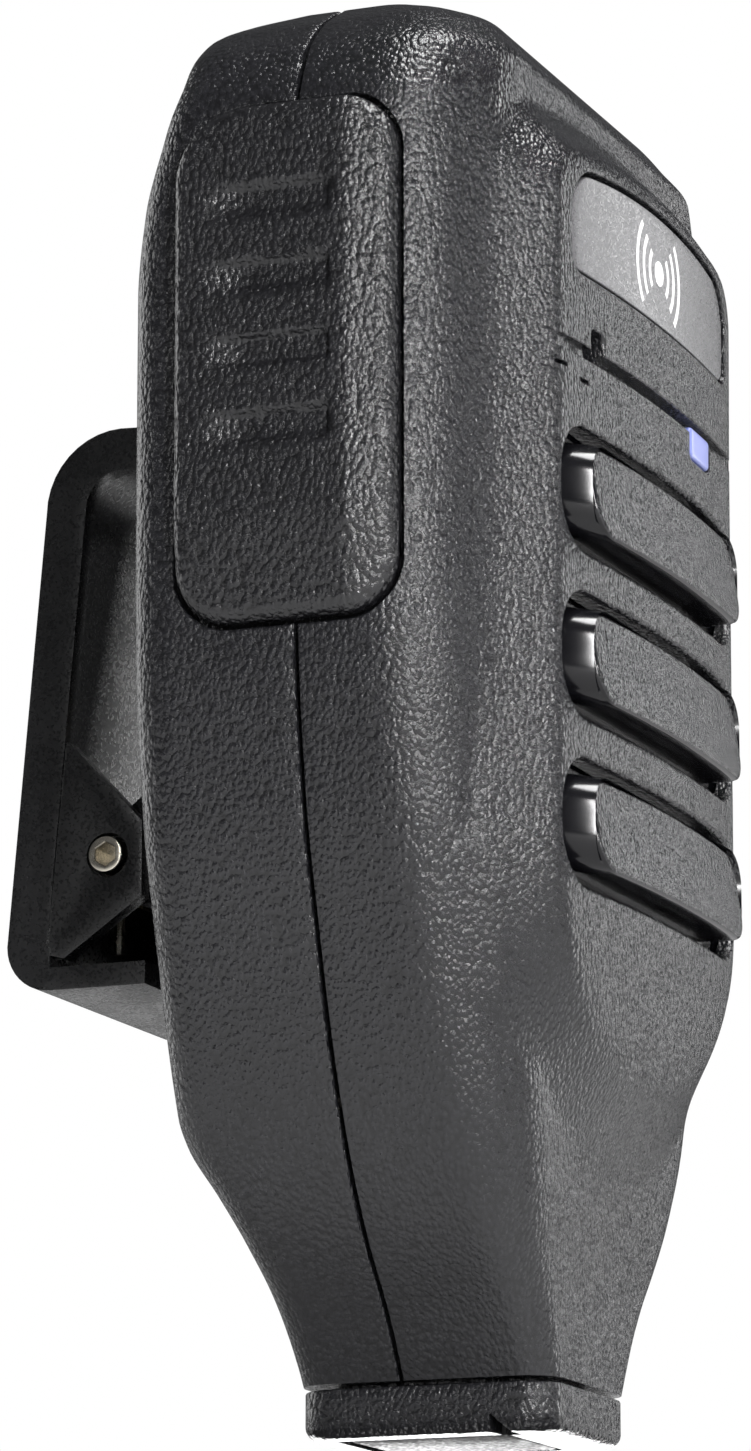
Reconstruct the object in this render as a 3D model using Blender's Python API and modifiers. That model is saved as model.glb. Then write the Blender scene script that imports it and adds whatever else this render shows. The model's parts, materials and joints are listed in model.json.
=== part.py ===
"""Hand microphone with a push-to-talk side button, a louvred speaker and a swivelling belt clip.

Standalone Blender 4.5 script. Metres, +Z up. The front (speaker side) faces -Y, the
push-to-talk button is on the -X side, and the belt clip is at the back (+Y). The origin is on the
underside of the base, in the plane where the two casing halves meet.
"""

import math

import bmesh
import bpy
from mathutils import Matrix, Vector

MM = 0.001

# ---- driving dimensions: casing --------------------------------------------------------------
HEIGHT = 96.0 * MM            # base to top
HALF_WIDTH = 26.6 * MM        # centre to the side of the casing
BACK_DEPTH = 12.5 * MM        # parting plane to the flat back
FACET_DEPTH = 12.3 * MM       # parting plane to the front behind the raised panel
NECK_HALF_WIDTH = 7.7 * MM    # the neck, where it meets the base cap
NECK_BACK = 7.9 * MM
NECK_FRONT = 10.5 * MM
WALL = 1.6 * MM               # casing wall
CORNER = 2.8 * MM             # chamfer between the back and the sides
FACET_WIDTH = 6.6 * MM        # first sloping facet between side and front
FACET_FALL = 3.9 * MM         # how far that facet comes back towards the side
GAP = 0.3 * MM                # clearance between neighbouring pieces
CAP_HEIGHT = 3.3 * MM         # base cap
CAP_EDGE = 0.9 * MM           # rounding under the base cap

# ---- raised front panel ----------------------------------------------------------------------
PANEL_RISE = 4.2 * MM         # raised face in front of FACET_DEPTH, on the centreline
PANEL_CROWN = 1.0 * MM        # the face falls this far from its centre to its edges
PANEL_FOOT_HALF = 20.6 * MM   # half width at the foot of the panel's sloping side
PANEL_FACE_HALF = 18.0 * MM   # half width of its face
PANEL_FOOT_TOP = 4.5 * MM     # below the top of the casing
PANEL_FACE_TOP = 9.0 * MM
PANEL_ROUND_START = 38.0 * MM # height where the sides begin to curve in
PANEL_FOOT_BOTTOM = 17.0 * MM
PANEL_FACE_BOTTOM = 23.2 * MM
POCKET_WALL = 2.2 * MM        # panel face to the pocket behind it
POCKET_HALF = 17.9 * MM
POCKET_BOTTOM = 33.0 * MM
POCKET_TOP_DROP = 14.0 * MM

# ---- louvres, groove, badge plate, lamp and sound hole -----------------------------------------
LOUVRE_COUNT = 3
LOUVRE_HALF_LENGTH = 14.7 * MM
LOUVRE_SPREAD = 1.7 * MM      # its foot is longer than its face by this at each end
LOUVRE_HEIGHT = 7.0 * MM
LOUVRE_PITCH = 11.35 * MM
LOUVRE_TOP_DROP = 30.5 * MM   # top of the casing to the top of the first louvre
LOUVRE_PROUD = 1.5 * MM       # how far its lower edge stands out of the panel
LOUVRE_TOP_PROUD = 0.4 * MM   # how far its upper edge does
LOUVRE_SLOT_GAP = 0.9 * MM
LOUVRE_CORNER = 2.6 * MM
GRILLE_PLATE = 0.9 * MM
GROOVE_DROP = 24.6 * MM       # top of the casing to the groove under the head
GROOVE_HEIGHT = 0.9 * MM
GROOVE_DEPTH = 1.3 * MM
BADGE_HALF = 15.6 * MM
BADGE_LOW_DROP = 19.0 * MM
BADGE_TOP_DROP = 10.4 * MM
BADGE_THICK = 0.5 * MM
BADGE_SUNK = 0.25 * MM
LAMP_X = 8.6 * MM
LAMP_SIZE = (4.6 * MM, 2.2 * MM)
LAMP_LIP = 0.7 * MM
LIGHT_PIPE_RADIUS = 0.7 * MM
SOUND_X = -11.8 * MM
CAPSULE_RADIUS = 3.0 * MM
CAPSULE_LENGTH = 2.7 * MM

# ---- push-to-talk button and power key -----------------------------------------------------------
PTT_TOP_DROP = 9.2 * MM
PTT_LENGTH = 35.2 * MM
PTT_REAR = 8.3 * MM
PTT_FRONT = -7.2 * MM
PTT_CORNER = 3.6 * MM
PTT_PROUD = 1.7 * MM
PTT_TRAVEL = 1.0 * MM
PTT_FLANGE = 0.9 * MM
PTT_EDGE = 0.8 * MM
PTT_CHAMFER_START = -4.2 * MM
PTT_CHAMFER_FALL = 1.2 * MM
RIB_COUNT = 4
RIB_PITCH = 5.1 * MM
RIB_HEIGHT = 2.3 * MM
RIB_LENGTH = 8.0 * MM
RIB_DEPTH = 0.5 * MM
RIB_SHIFT = 1.9 * MM          # the ribs sit this far in front of the middle of the flat
RIB_TOP_DROP = 5.8 * MM
KEY_LENGTH = 10.0 * MM
KEY_HEIGHT = 4.4 * MM
KEY_TRAVEL = 0.6 * MM
KEY_PROUD = 0.8 * MM
KEY_TOP_DROP = 22.0 * MM
BUTTON_GAP = 0.35 * MM

# ---- inside ------------------------------------------------------------------------------------------
SPEAKER_RADIUS = 16.4 * MM
SPEAKER_DEPTH = 8.6 * MM
BOARD_FRONT = -1.5 * MM
BOARD_THICK = 1.0 * MM
BOARD_HALF = 20.5 * MM
BATTERY_SIZE = (32.0 * MM, 7.0 * MM, 34.0 * MM)
BATTERY_FRONT = 1.6 * MM
SCREW_RADIUS = 1.0 * MM
SCREW_HEAD_RADIUS = 2.1 * MM
SCREW_HEAD = 1.5 * MM
SCREW_LENGTH = 9.0 * MM
BOSS_RADIUS = 3.0 * MM
UPPER_SCREW = (16.0 * MM, 9.5 * MM)    # centre to screw, top of the casing to screw
LOWER_SCREW = (12.6 * MM, 22.0 * MM)   # centre to screw, base to screw
SCREW_SEAT = 4.2 * MM                  # parting plane to the seat of the screw's head

# ---- belt clip -----------------------------------------------------------------------------------------
SWIVEL_DROP = 44.0 * MM       # top of the casing to the swivel
SWIVEL_BOSS_RADIUS = 12.4 * MM
SWIVEL_BOSS_HEIGHT = 1.5 * MM
BRACKET_RADIUS = 11.0 * MM
BRACKET_THICK = 2.0 * MM
SWIVEL_SCREW_RADIUS = 2.0 * MM
SWIVEL_HEAD_RADIUS = 4.0 * MM
SWIVEL_HEAD = 1.3 * MM
CLIP_HALF = 11.0 * MM
CLIP_WALL = 1.6 * MM
CLIP_FLANGE = 3.0 * MM
CLIP_TOP = 18.5 * MM          # above the swivel
CLIP_BOTTOM = 20.9 * MM       # below the swivel
CLIP_REACH_TOP = 12.8 * MM    # flat back to the lever's outer face, near its top
CLIP_REACH_BOTTOM = 15.4 * MM # the same near its bottom
CLIP_BEND = 5.6 * MM
CLIP_LOWER_BEND = 3.2 * MM
JAW_GAP = 0.6 * MM
THUMB_GAP = 5.0 * MM
EAR_WALL = 1.5 * MM
PIN_RADIUS = 1.25 * MM
PIN_WALL = 0.45 * MM
PIN_DROP = 11.7 * MM          # swivel to pin
PIN_REACH = 8.0 * MM          # flat back to pin
SPRING_RADIUS = 2.3 * MM
SPRING_WIRE = 0.4 * MM
SPRING_TURNS = 4
SPRING_HALF = 3.6 * MM

# ---- base --------------------------------------------------------------------------------------------------
COVER_HALF = 5.0 * MM
COVER_FRONT = -6.4 * MM
COVER_HINGE = 4.6 * MM
COVER_THICK = 1.5 * MM
PLUG_HALF = (3.2 * MM, 1.1 * MM)
PLUG_DEPTH = 1.0 * MM
SOCKET_SIZE = (7.4 * MM, 2.6 * MM, 5.2 * MM)
SOCKET_WALL = 0.35 * MM


# ---- scene and materials -------------------------------------------------------------------------------
def clear_scene():
    for thing in list(bpy.data.objects):
        bpy.data.objects.remove(thing, do_unlink=True)


def new_collection(name):
    collection = bpy.data.collections.new(name)
    bpy.context.scene.collection.children.link(collection)
    return collection


def finish(name, colour, roughness, metallic=0.0):
    material = bpy.data.materials.new(name)
    material.use_nodes = True
    shader = material.node_tree.nodes["Principled BSDF"]
    shader.inputs["Base Color"].default_value = (*colour, 1.0)
    shader.inputs["Roughness"].default_value = roughness
    shader.inputs["Metallic"].default_value = metallic
    return material


clear_scene()
PARTS = new_collection("hand_microphone")
CUTTERS = new_collection("cutters")

CASING = finish("casing", (0.028, 0.028, 0.031), 0.45)
BUTTON = finish("button", (0.022, 0.022, 0.024), 0.5)
GLOSS = finish("grille", (0.010, 0.010, 0.011), 0.18)
BADGE = finish("badge", (0.16, 0.16, 0.165), 0.35)
CLIP = finish("clip", (0.012, 0.012, 0.013), 0.4)
STEEL = finish("steel", (0.55, 0.53, 0.49), 0.3, 1.0)
RUBBER = finish("rubber", (0.03, 0.03, 0.03), 0.8)
LENS = finish("lens", (0.45, 0.5, 0.85), 0.15)
BOARD = finish("board", (0.02, 0.12, 0.06), 0.5)
PAPER = finish("cone", (0.05, 0.05, 0.05), 0.7)
CELL = finish("cell", (0.10, 0.16, 0.35), 0.4)


# ---- shape helpers ----------------------------------------------------------------------------------------
TO_XZ = Matrix(((1, 0, 0, 0), (0, 0, -1, 0), (0, 1, 0, 0), (0, 0, 0, 1)))
TO_YZ = Matrix(((0, 0, 1, 0), (1, 0, 0, 0), (0, 1, 0, 0), (0, 0, 0, 1)))
TURN_AXES = {
    "X": Matrix.Rotation(math.pi / 2, 4, "Y"),
    "Y": Matrix.Rotation(-math.pi / 2, 4, "X"),
    "Z": Matrix.Identity(4),
}


def place(name, mesh, material):
    """A part when it has a material, a hidden cutter when it has none."""
    thing = bpy.data.objects.new(name, mesh)
    if material is None:
        CUTTERS.objects.link(thing)
        thing.hide_render = True
        thing.display_type = "WIRE"
    else:
        PARTS.objects.link(thing)
        mesh.materials.append(material)
        mesh.shade_smooth()
        mesh.set_sharp_from_angle(angle=math.radians(35))
    return thing


def from_bmesh(name, shape, material=None):
    mesh = bpy.data.meshes.new(name)
    shape.to_mesh(mesh)
    shape.free()
    return place(name, mesh, material)


def box(name, low, high, material=None, bevel=0.0):
    low, high = Vector(low), Vector(high)
    shape = bmesh.new()
    bmesh.ops.create_cube(shape, size=1.0)
    bmesh.ops.scale(shape, vec=high - low, verts=shape.verts)
    bmesh.ops.translate(shape, vec=(low + high) / 2, verts=shape.verts)
    if bevel:
        bmesh.ops.bevel(shape, geom=shape.edges, offset=bevel, segments=2, profile=0.5,
                        affect="EDGES", material=-1)
    return from_bmesh(name, shape, material)


def rod(name, radius, start, length, axis, material=None, segments=24):
    """A cylinder from start, along axis X, Y or Z."""
    shape = bmesh.new()
    bmesh.ops.create_cone(shape, cap_ends=True, segments=segments, radius1=radius, radius2=radius,
                          depth=length)
    bmesh.ops.translate(shape, vec=(0, 0, length / 2), verts=shape.verts)
    bmesh.ops.transform(shape, matrix=Matrix.Translation(start) @ TURN_AXES[axis], verts=shape.verts)
    return from_bmesh(name, shape, material)


def turned(name, profile, centre, axis, material, steps=24, ring=False):
    """A profile of (radius, along) from the far end down its outer side, turned about axis."""
    shape = bmesh.new()
    points = [shape.verts.new((radius, 0, along)) for radius, along in profile]
    for first, second in zip(points, points[1:] + points[:1] if ring else points[1:]):
        shape.edges.new((first, second))
    thing = from_bmesh(name, shape, material)
    thing.matrix_world = Matrix.Translation(centre) @ TURN_AXES[axis]
    screw = thing.modifiers.new("turn", "SCREW")
    screw.steps = screw.render_steps = steps
    screw.use_merge_vertices = True
    screw.merge_threshold = 0.00001
    screw.use_smooth_shade = True
    return thing


def flat(name, outlines, low, high, plane, material=None):
    """Closed outlines filled and given a thickness: plane XZ runs along Y, plane YZ along X."""
    curve = bpy.data.curves.new(name, "CURVE")
    curve.dimensions = "2D"
    curve.fill_mode = "BOTH"
    curve.extrude = abs(high - low) / 2
    for outline in outlines:
        spline = curve.splines.new("POLY")
        spline.points.add(len(outline) - 1)
        for point, (across, up) in zip(spline.points, outline):
            point.co = (across, up, 0, 1)
        spline.use_cyclic_u = True
    guide = bpy.data.objects.new(name + "_outline", curve)
    bpy.context.scene.collection.objects.link(guide)
    graph = bpy.context.evaluated_depsgraph_get()
    mesh = bpy.data.meshes.new_from_object(guide.evaluated_get(graph))
    bpy.data.objects.remove(guide)
    middle = (low + high) / 2
    shift = (0, middle, 0) if plane == "XZ" else (middle, 0, 0)
    shape = bmesh.new()
    shape.from_mesh(mesh)
    bpy.data.meshes.remove(mesh)
    bmesh.ops.remove_doubles(shape, verts=shape.verts, dist=0.000001)
    turn = TO_XZ if plane == "XZ" else TO_YZ
    bmesh.ops.transform(shape, matrix=Matrix.Translation(shift) @ turn, verts=shape.verts)
    bmesh.ops.recalc_face_normals(shape, faces=shape.faces)
    return from_bmesh(name, shape, material)


def loft(name, rings, material=None):
    """Rings of equal length joined in order and closed at both ends."""
    shape = bmesh.new()
    levels = [[shape.verts.new(point) for point in ring] for ring in rings]
    for lower, upper in zip(levels, levels[1:]):
        for index in range(len(lower)):
            following = (index + 1) % len(lower)
            shape.faces.new((lower[index], lower[following], upper[following], upper[index]))
    shape.faces.new(levels[0])
    shape.faces.new(levels[-1])
    bmesh.ops.recalc_face_normals(shape, faces=shape.faces)
    return from_bmesh(name, shape, material)


def combine(thing, other, operation):
    step = thing.modifiers.new(f"{operation.lower()} {other.name}", "BOOLEAN")
    step.operation = operation
    step.object = other
    step.solver = "EXACT"


def cut(thing, *cutters):
    for cutter in cutters:
        combine(thing, cutter, "DIFFERENCE")


def join(thing, *others):
    for other in others:
        combine(thing, other, "UNION")


def curve_value(stops, at):
    """A smooth value through (position, value) stops, flat beyond the ends and never overshooting."""
    if at <= stops[0][0]:
        return stops[0][1]
    if at >= stops[-1][0]:
        return stops[-1][1]
    slopes = [(b[1] - a[1]) / (b[0] - a[0]) for a, b in zip(stops, stops[1:])]

    def tangent(index):
        if index in (0, len(stops) - 1):
            return slopes[min(index, len(slopes) - 1)]
        before, after = slopes[index - 1], slopes[index]
        return 0.0 if before * after <= 0 else 2 * before * after / (before + after)

    index = next(i for i in range(len(slopes)) if at <= stops[i + 1][0])
    (x0, y0), (x1, y1) = stops[index], stops[index + 1]
    span = x1 - x0
    t = (at - x0) / span
    return (y0 * (1 + 2 * t) * (1 - t) ** 2 + tangent(index) * span * t * (1 - t) ** 2
            + y1 * t * t * (3 - 2 * t) + tangent(index + 1) * span * t * t * (t - 1))


def rounded_box_outline(low, high, radii, steps=5):
    """Corners in order low-low, high-low, high-high, low-high, each with its own radius."""
    (x0, z0), (x1, z1) = low, high
    corners = ((x0, z0, 1, 1, math.pi), (x1, z0, -1, 1, 1.5 * math.pi),
               (x1, z1, -1, -1, 0.0), (x0, z1, 1, -1, 0.5 * math.pi))
    outline = []
    for (x, z, inward_x, inward_z, start), radius in zip(corners, radii):
        for step in range(steps + 1):
            angle = start + step / steps * math.pi / 2
            outline.append((x + inward_x * radius + radius * math.cos(angle),
                            z + inward_z * radius + radius * math.sin(angle)))
    return outline


# ---- the casing's outer form --------------------------------------------------------------------------
# Each stop is (share of the way from the cap to the top, share of the way from neck to full size).
WIDTH_STOPS = ((0.0, 0.0), (0.045, 0.14), (0.10, 0.36), (0.15, 0.51), (0.223, 0.667), (0.30, 0.79),
               (0.396, 0.92), (0.515, 0.993), (0.60, 1.0), (0.895, 1.0), (0.945, 0.915), (0.976, 0.77),
               (1.0, 0.58))
BACK_STOPS = ((0.0, 0.0), (0.04, 0.09), (0.07, 0.17), (0.10, 0.33), (0.132, 0.59), (0.167, 0.93),
              (0.186, 1.0), (0.773, 1.0), (0.836, 0.89), (0.906, 0.52), (0.935, 0.40), (0.973, 0.33),
              (0.984, 0.22), (0.992, -0.09), (1.0, -0.96))
FRONT_STOPS = ((0.0, 0.0), (0.07, 0.25), (0.14, 0.75), (0.20, 1.0), (0.951, 1.0), (0.973, 0.22),
               (0.9946, -0.83), (1.0, -1.7))
LEVELS = (0.0, 0.03, 0.06, 0.09, 0.12, 0.15, 0.186, 0.25, 0.31, 0.38, 0.45, 0.52, 0.64, 0.77, 0.83,
          0.88, 0.91, 0.935, 0.955, 0.973, 0.986, 0.994, 1.0)


def share_of(stops, height, small, full):
    share = curve_value(stops, (height - CAP_HEIGHT) / (HEIGHT - CAP_HEIGHT))
    return small + share * (full - small)


def half_width(height):
    return share_of(WIDTH_STOPS, height, NECK_HALF_WIDTH, HALF_WIDTH)


def back(height):
    return share_of(BACK_STOPS, height, NECK_BACK, BACK_DEPTH)


def front(height):
    return -share_of(FRONT_STOPS, height, NECK_FRONT, FACET_DEPTH)


def section(height, inset=0.0, at=None):
    """The casing's outline at a height, as a ring that is symmetric about the YZ plane."""
    at = height if at is None else at
    size = (half_width(at) - NECK_HALF_WIDTH) / (HALF_WIDTH - NECK_HALF_WIDTH)
    side = half_width(at) - inset
    rear, face = back(at) - inset, front(at) + inset
    corner = min(CORNER, 0.35 * side) * (1 - 0.12 * inset / WALL)
    facet = (1.4 * MM + size * (FACET_WIDTH - 1.4 * MM))
    fall = min(1.5 * MM + size * (FACET_FALL - 1.5 * MM), 0.45 * (rear - face))
    half = ((0.0, rear), (side - corner, rear), (side - 0.3 * corner, rear - 0.3 * corner),
            (side, rear - corner), (side, (rear + face) / 2), (side, face + fall),
            (side - facet, face), (0.0, face - 0.1 * MM))
    ring = list(half) + [(-x, y) for x, y in reversed(half[1:-1])]
    return [(x, y, height) for x, y in ring]


def level_height(share):
    return CAP_HEIGHT + share * (HEIGHT - CAP_HEIGHT)


def panel_outline(half, top, corner, bottom):
    """The raised panel's outline: arched top, straight sides and a half-oval bottom, as (x, z)."""
    right = [(0.0, top), (half * 0.45, top - 0.5 * MM)]
    for step in range(6):
        angle = math.pi / 2 * (1 - step / 5)
        right.append((half - corner * (1 - math.cos(angle)),
                      top - 1.2 * MM - corner * (1 - math.sin(angle))))
    right.append((half, (top + PANEL_ROUND_START) / 2))
    for step in range(9):
        angle = math.pi / 2 * step / 9
        right.append((half * math.cos(angle) ** 0.92,
                      PANEL_ROUND_START - (PANEL_ROUND_START - bottom) * math.sin(angle)))
    right.append((0.0, bottom))
    return right + [(-x, z) for x, z in reversed(right[1:-1])]


def panel_front(x, height):
    """The raised face: it leans back under the top, and falls away slightly to each side."""
    below_top = HEIGHT - height
    lean = curve_value(((0.0, 5.0 * MM), (6.0 * MM, 2.6 * MM), (9.0 * MM, 0.6 * MM), (12.0 * MM, 0.0),
                        (26.0 * MM, 0.1 * MM), (60.0 * MM, 0.2 * MM), (72.0 * MM, 1.2 * MM),
                        (80.0 * MM, 2.4 * MM)), below_top)
    return -FACET_DEPTH - PANEL_RISE + lean + PANEL_CROWN * (x / PANEL_FACE_HALF) ** 2


def raised_panel(name):
    foot = panel_outline(PANEL_FOOT_HALF, HEIGHT - PANEL_FOOT_TOP, 7.0 * MM, PANEL_FOOT_BOTTOM)
    face = panel_outline(PANEL_FACE_HALF, HEIGHT - PANEL_FACE_TOP, 4.5 * MM, PANEL_FACE_BOTTOM)
    middle = (HEIGHT - PANEL_FACE_TOP + PANEL_FACE_BOTTOM) / 2
    rings = [[(x, -FACET_DEPTH + 0.7 * WALL, z) for x, z in foot],
             [(x, -FACET_DEPTH, z) for x, z in foot],
             [(x, panel_front(x, z) + 0.5 * MM, z) for x, z in face]]
    for share in (0.975, 0.7, 0.35):
        inner = [(x * share, middle + (z - middle) * share) for x, z in face]
        rings.append([(x, panel_front(x, z), z) for x, z in inner])
    return loft(name, rings)


# ---- positions that several pieces share ----------------------------------------------------------------
LOUVRE_TOPS = [HEIGHT - LOUVRE_TOP_DROP - index * LOUVRE_PITCH for index in range(LOUVRE_COUNT)]
SPEAKER_Z = LOUVRE_TOPS[0] - ((LOUVRE_COUNT - 1) * LOUVRE_PITCH + LOUVRE_HEIGHT) / 2
PANEL_FACE_Y = -FACET_DEPTH - PANEL_RISE
POCKET_Y = PANEL_FACE_Y + POCKET_WALL
GRILLE_FRONT = POCKET_Y + GAP
CLOTH_FRONT = GRILLE_FRONT + GRILLE_PLATE + GAP
CLOTH_THICK = 0.4 * MM
GASKET_FRONT = CLOTH_FRONT + CLOTH_THICK + GAP
GASKET_THICK = 0.8 * MM
SPEAKER_FRONT = GASKET_FRONT + GASKET_THICK + GAP
GROOVE_Z = HEIGHT - GROOVE_DROP
LAMP_Z = GROOVE_Z - LAMP_SIZE[1] / 2
SOUND_Z = GROOVE_Z + 1.4 * MM
BOARD_BACK = BOARD_FRONT + BOARD_THICK
BOARD_TOP = HEIGHT - UPPER_SCREW[1] - BOSS_RADIUS - GAP
PTT_TOP = HEIGHT - PTT_TOP_DROP
PTT_BOTTOM = PTT_TOP - PTT_LENGTH
PTT_FACE_X = -HALF_WIDTH - PTT_PROUD
PTT_FLANGE_X = -HALF_WIDTH + WALL + GAP
KEY_TOP = HEIGHT - KEY_TOP_DROP
SWIVEL_Z = HEIGHT - SWIVEL_DROP
BOSS_Y = BACK_DEPTH + SWIVEL_BOSS_HEIGHT
BRACKET_Y = BOSS_Y + GAP
PIN_Y = BACK_DEPTH + PIN_REACH
PIN_Z = SWIVEL_Z - PIN_DROP
SCREWS = [(side * UPPER_SCREW[0], HEIGHT - UPPER_SCREW[1]) for side in (-1, 1)]
SCREWS += [(side * LOWER_SCREW[0], LOWER_SCREW[1]) for side in (-1, 1)]


def button_outline(grow):
    rear_top = PTT_CORNER + 1.4 * MM
    return rounded_box_outline((PTT_FRONT - grow, PTT_BOTTOM - grow), (PTT_REAR + grow, PTT_TOP + grow),
                               (PTT_CORNER + grow, PTT_CORNER + grow, rear_top + grow, PTT_CORNER + grow))


def key_outline(grow):
    radius = KEY_HEIGHT / 2 + grow - 0.01 * MM
    return rounded_box_outline((-KEY_HEIGHT / 2 - grow, KEY_TOP - KEY_LENGTH - grow),
                               (KEY_HEIGHT / 2 + grow, KEY_TOP + grow), (radius,) * 4)


# ---- casing -----------------------------------------------------------------------------------------------
def casing_cutters():
    """Cutters that both halves of the casing share."""
    inner_levels = [level_height(share) for share in LEVELS if share < 0.95]
    rings = [section(-1.0 * MM, WALL, CAP_HEIGHT)]
    rings += [section(height, WALL, height) for height in inner_levels if height < 0.88 * HEIGHT]
    rings += [section(height - 0.8 * WALL, 0.9 * WALL, height)
              for height in map(level_height, (0.90, 0.93, 0.955, 0.975))]
    inner = loft("cavity", rings)
    below = box("below_casing", (-0.1, -0.1, -0.02), (0.1, 0.1, CAP_HEIGHT + GAP))
    ptt = flat("ptt_opening", [button_outline(BUTTON_GAP)], -HALF_WIDTH - 6 * MM,
               -HALF_WIDTH + WALL + 1.2 * MM, "YZ")
    pocket = flat("ptt_pocket", [button_outline(PTT_FLANGE + BUTTON_GAP)], -HALF_WIDTH + WALL,
                  -HALF_WIDTH + WALL + 5 * MM, "YZ")
    key = flat("key_opening", [key_outline(BUTTON_GAP)], HALF_WIDTH - WALL - 1.2 * MM,
               HALF_WIDTH + 4 * MM, "YZ")
    return inner, below, ptt, pocket, key


def front_cover(shared):
    rings = [section(level_height(share)) for share in LEVELS]
    cover = loft("front_cover", rings, CASING)
    join(cover, raised_panel("panel_solid"))
    cut(cover, shared[0])
    for index, (x, z) in enumerate(SCREWS):
        start = front(z) + 0.6 * WALL
        join(cover, rod(f"front_boss_{index}", BOSS_RADIUS, (x, start, z), -GAP - start, "Y",
                        segments=16))
        cut(cover, rod(f"pilot_{index}", SCREW_RADIUS + GAP, (x, -7.0 * MM, z), 9.0 * MM, "Y",
                       segments=12))
    cut(cover, box("rear_half", (-0.1, -GAP / 2, -0.1), (0.1, 0.1, 0.2)))
    pocket = rounded_box_outline((-POCKET_HALF, POCKET_BOTTOM), (POCKET_HALF, HEIGHT - POCKET_TOP_DROP),
                                 (3 * MM,) * 4, 3)
    cut(cover, flat("pocket", [pocket], POCKET_Y, -FACET_DEPTH + 2.2 * MM, "XZ"))
    half_x, half_z = LAMP_SIZE[0] / 2 + GAP, LAMP_SIZE[1] / 2 + GAP
    cut(cover, box("lamp_window", (LAMP_X - half_x, PANEL_FACE_Y - MM, LAMP_Z - half_z),
                   (LAMP_X + half_x, POCKET_Y + MM, LAMP_Z + half_z)))
    cut(cover, box("sound_hole", (SOUND_X - 1.1 * MM, PANEL_FACE_Y - MM, SOUND_Z - 0.9 * MM),
                   (SOUND_X + 1.1 * MM, POCKET_Y + MM, SOUND_Z + 0.6 * MM)))
    for index, top in enumerate(LOUVRE_TOPS):
        slot = rounded_box_outline(
            (-LOUVRE_HALF_LENGTH - LOUVRE_SPREAD - LOUVRE_SLOT_GAP, top - LOUVRE_HEIGHT - LOUVRE_SLOT_GAP),
            (LOUVRE_HALF_LENGTH + LOUVRE_SPREAD + LOUVRE_SLOT_GAP, top + 0.6 * LOUVRE_SLOT_GAP),
            (LOUVRE_CORNER + LOUVRE_SLOT_GAP,) * 4, 4)
        cut(cover, flat(f"slot_{index}", [slot], PANEL_FACE_Y - 3 * MM, POCKET_Y + MM, "XZ"))
    groove_face = PANEL_FACE_Y + GROOVE_DEPTH
    cut(cover, box("groove", (-PANEL_FOOT_HALF + MM, PANEL_FACE_Y - 2 * MM, GROOVE_Z - GROOVE_HEIGHT / 2),
                   (PANEL_FOOT_HALF - MM, groove_face, GROOVE_Z + GROOVE_HEIGHT / 2)))
    cut(cover, badge_shape("badge_recess", BUTTON_GAP, BADGE_SUNK + BADGE_THICK + GAP, -2 * MM))
    cut(cover, *shared[1:])
    return cover


def rear_cover(shared):
    rings = [section(level_height(share)) for share in LEVELS]
    cover = loft("rear_cover", rings, CASING)
    cut(cover, shared[0])
    boss_start = BACK_DEPTH - 0.6 * WALL
    join(cover, rod("swivel_boss", SWIVEL_BOSS_RADIUS, (0, boss_start, SWIVEL_Z), BOSS_Y - boss_start, "Y",
                    segments=40))
    join(cover, rod("swivel_stud_boss", 3.6 * MM, (0, BACK_DEPTH - WALL - 1.6 * MM, SWIVEL_Z), 2.4 * MM,
                    "Y", segments=20))
    cut(cover, rod("swivel_hole", SWIVEL_SCREW_RADIUS + GAP, (0, 0, SWIVEL_Z), 0.03, "Y", segments=20))
    for index, (x, z) in enumerate(SCREWS):
        join(cover, rod(f"rear_boss_{index}", BOSS_RADIUS + 0.4 * MM, (x, GAP, z),
                        back(z) - 0.6 * WALL - GAP, "Y", segments=16))
        cut(cover, rod(f"screw_well_{index}", SCREW_HEAD_RADIUS + GAP, (x, SCREW_SEAT, z), 0.02, "Y",
                       segments=16))
        cut(cover, rod(f"screw_hole_{index}", SCREW_RADIUS + GAP, (x, -MM, z), 0.02, "Y", segments=12))
    cut(cover, box("front_half", (-0.1, -0.1, -0.1), (0.1, GAP / 2, 0.2)))
    cut(cover, *shared[1:])
    return cover


def badge_shape(name, grow, sink, front_end, material=None):
    """A plate outline with an arched top; sink is from the raised face to its back."""

    def bent(x, z, depth):
        return x, panel_front(x, z) + depth, z

    low, top = HEIGHT - BADGE_LOW_DROP - grow, HEIGHT - BADGE_TOP_DROP + grow
    half = BADGE_HALF + grow
    outline = rounded_box_outline((-half, low), (half, top - 1.2 * MM),
                                  (1.2 * MM, 1.2 * MM, 3.0 * MM, 3.0 * MM), 3)
    outline = [(x, z + 1.2 * MM * (1 - (x / half) ** 2) * (z > top - 3 * MM)) for x, z in outline]
    shape = bmesh.new()
    backs = [shape.verts.new(bent(x, z, sink)) for x, z in outline]
    fronts = [shape.verts.new(bent(x, z, front_end)) for x, z in outline]
    for index in range(len(outline)):
        following = (index + 1) % len(outline)
        shape.faces.new((backs[index], backs[following], fronts[following], fronts[index]))
    shape.faces.new(backs)
    shape.faces.new(fronts)
    bmesh.ops.triangulate(shape, faces=[face for face in shape.faces if len(face.verts) > 4])
    bmesh.ops.recalc_face_normals(shape, faces=shape.faces)
    return from_bmesh(name, shape, material)


def screws():
    profile = [(0.0, SCREW_HEAD), (SCREW_HEAD_RADIUS * 0.8, SCREW_HEAD), (SCREW_HEAD_RADIUS, 0.6 * SCREW_HEAD),
               (SCREW_HEAD_RADIUS, 0.0), (SCREW_RADIUS, 0.0), (SCREW_RADIUS, -SCREW_LENGTH + MM),
               (0.0, -SCREW_LENGTH)]
    for index, (x, z) in enumerate(SCREWS):
        turned(f"rear_screw_{index + 1}", profile, (x, SCREW_SEAT + GAP, z), "Y", STEEL, steps=12)


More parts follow.
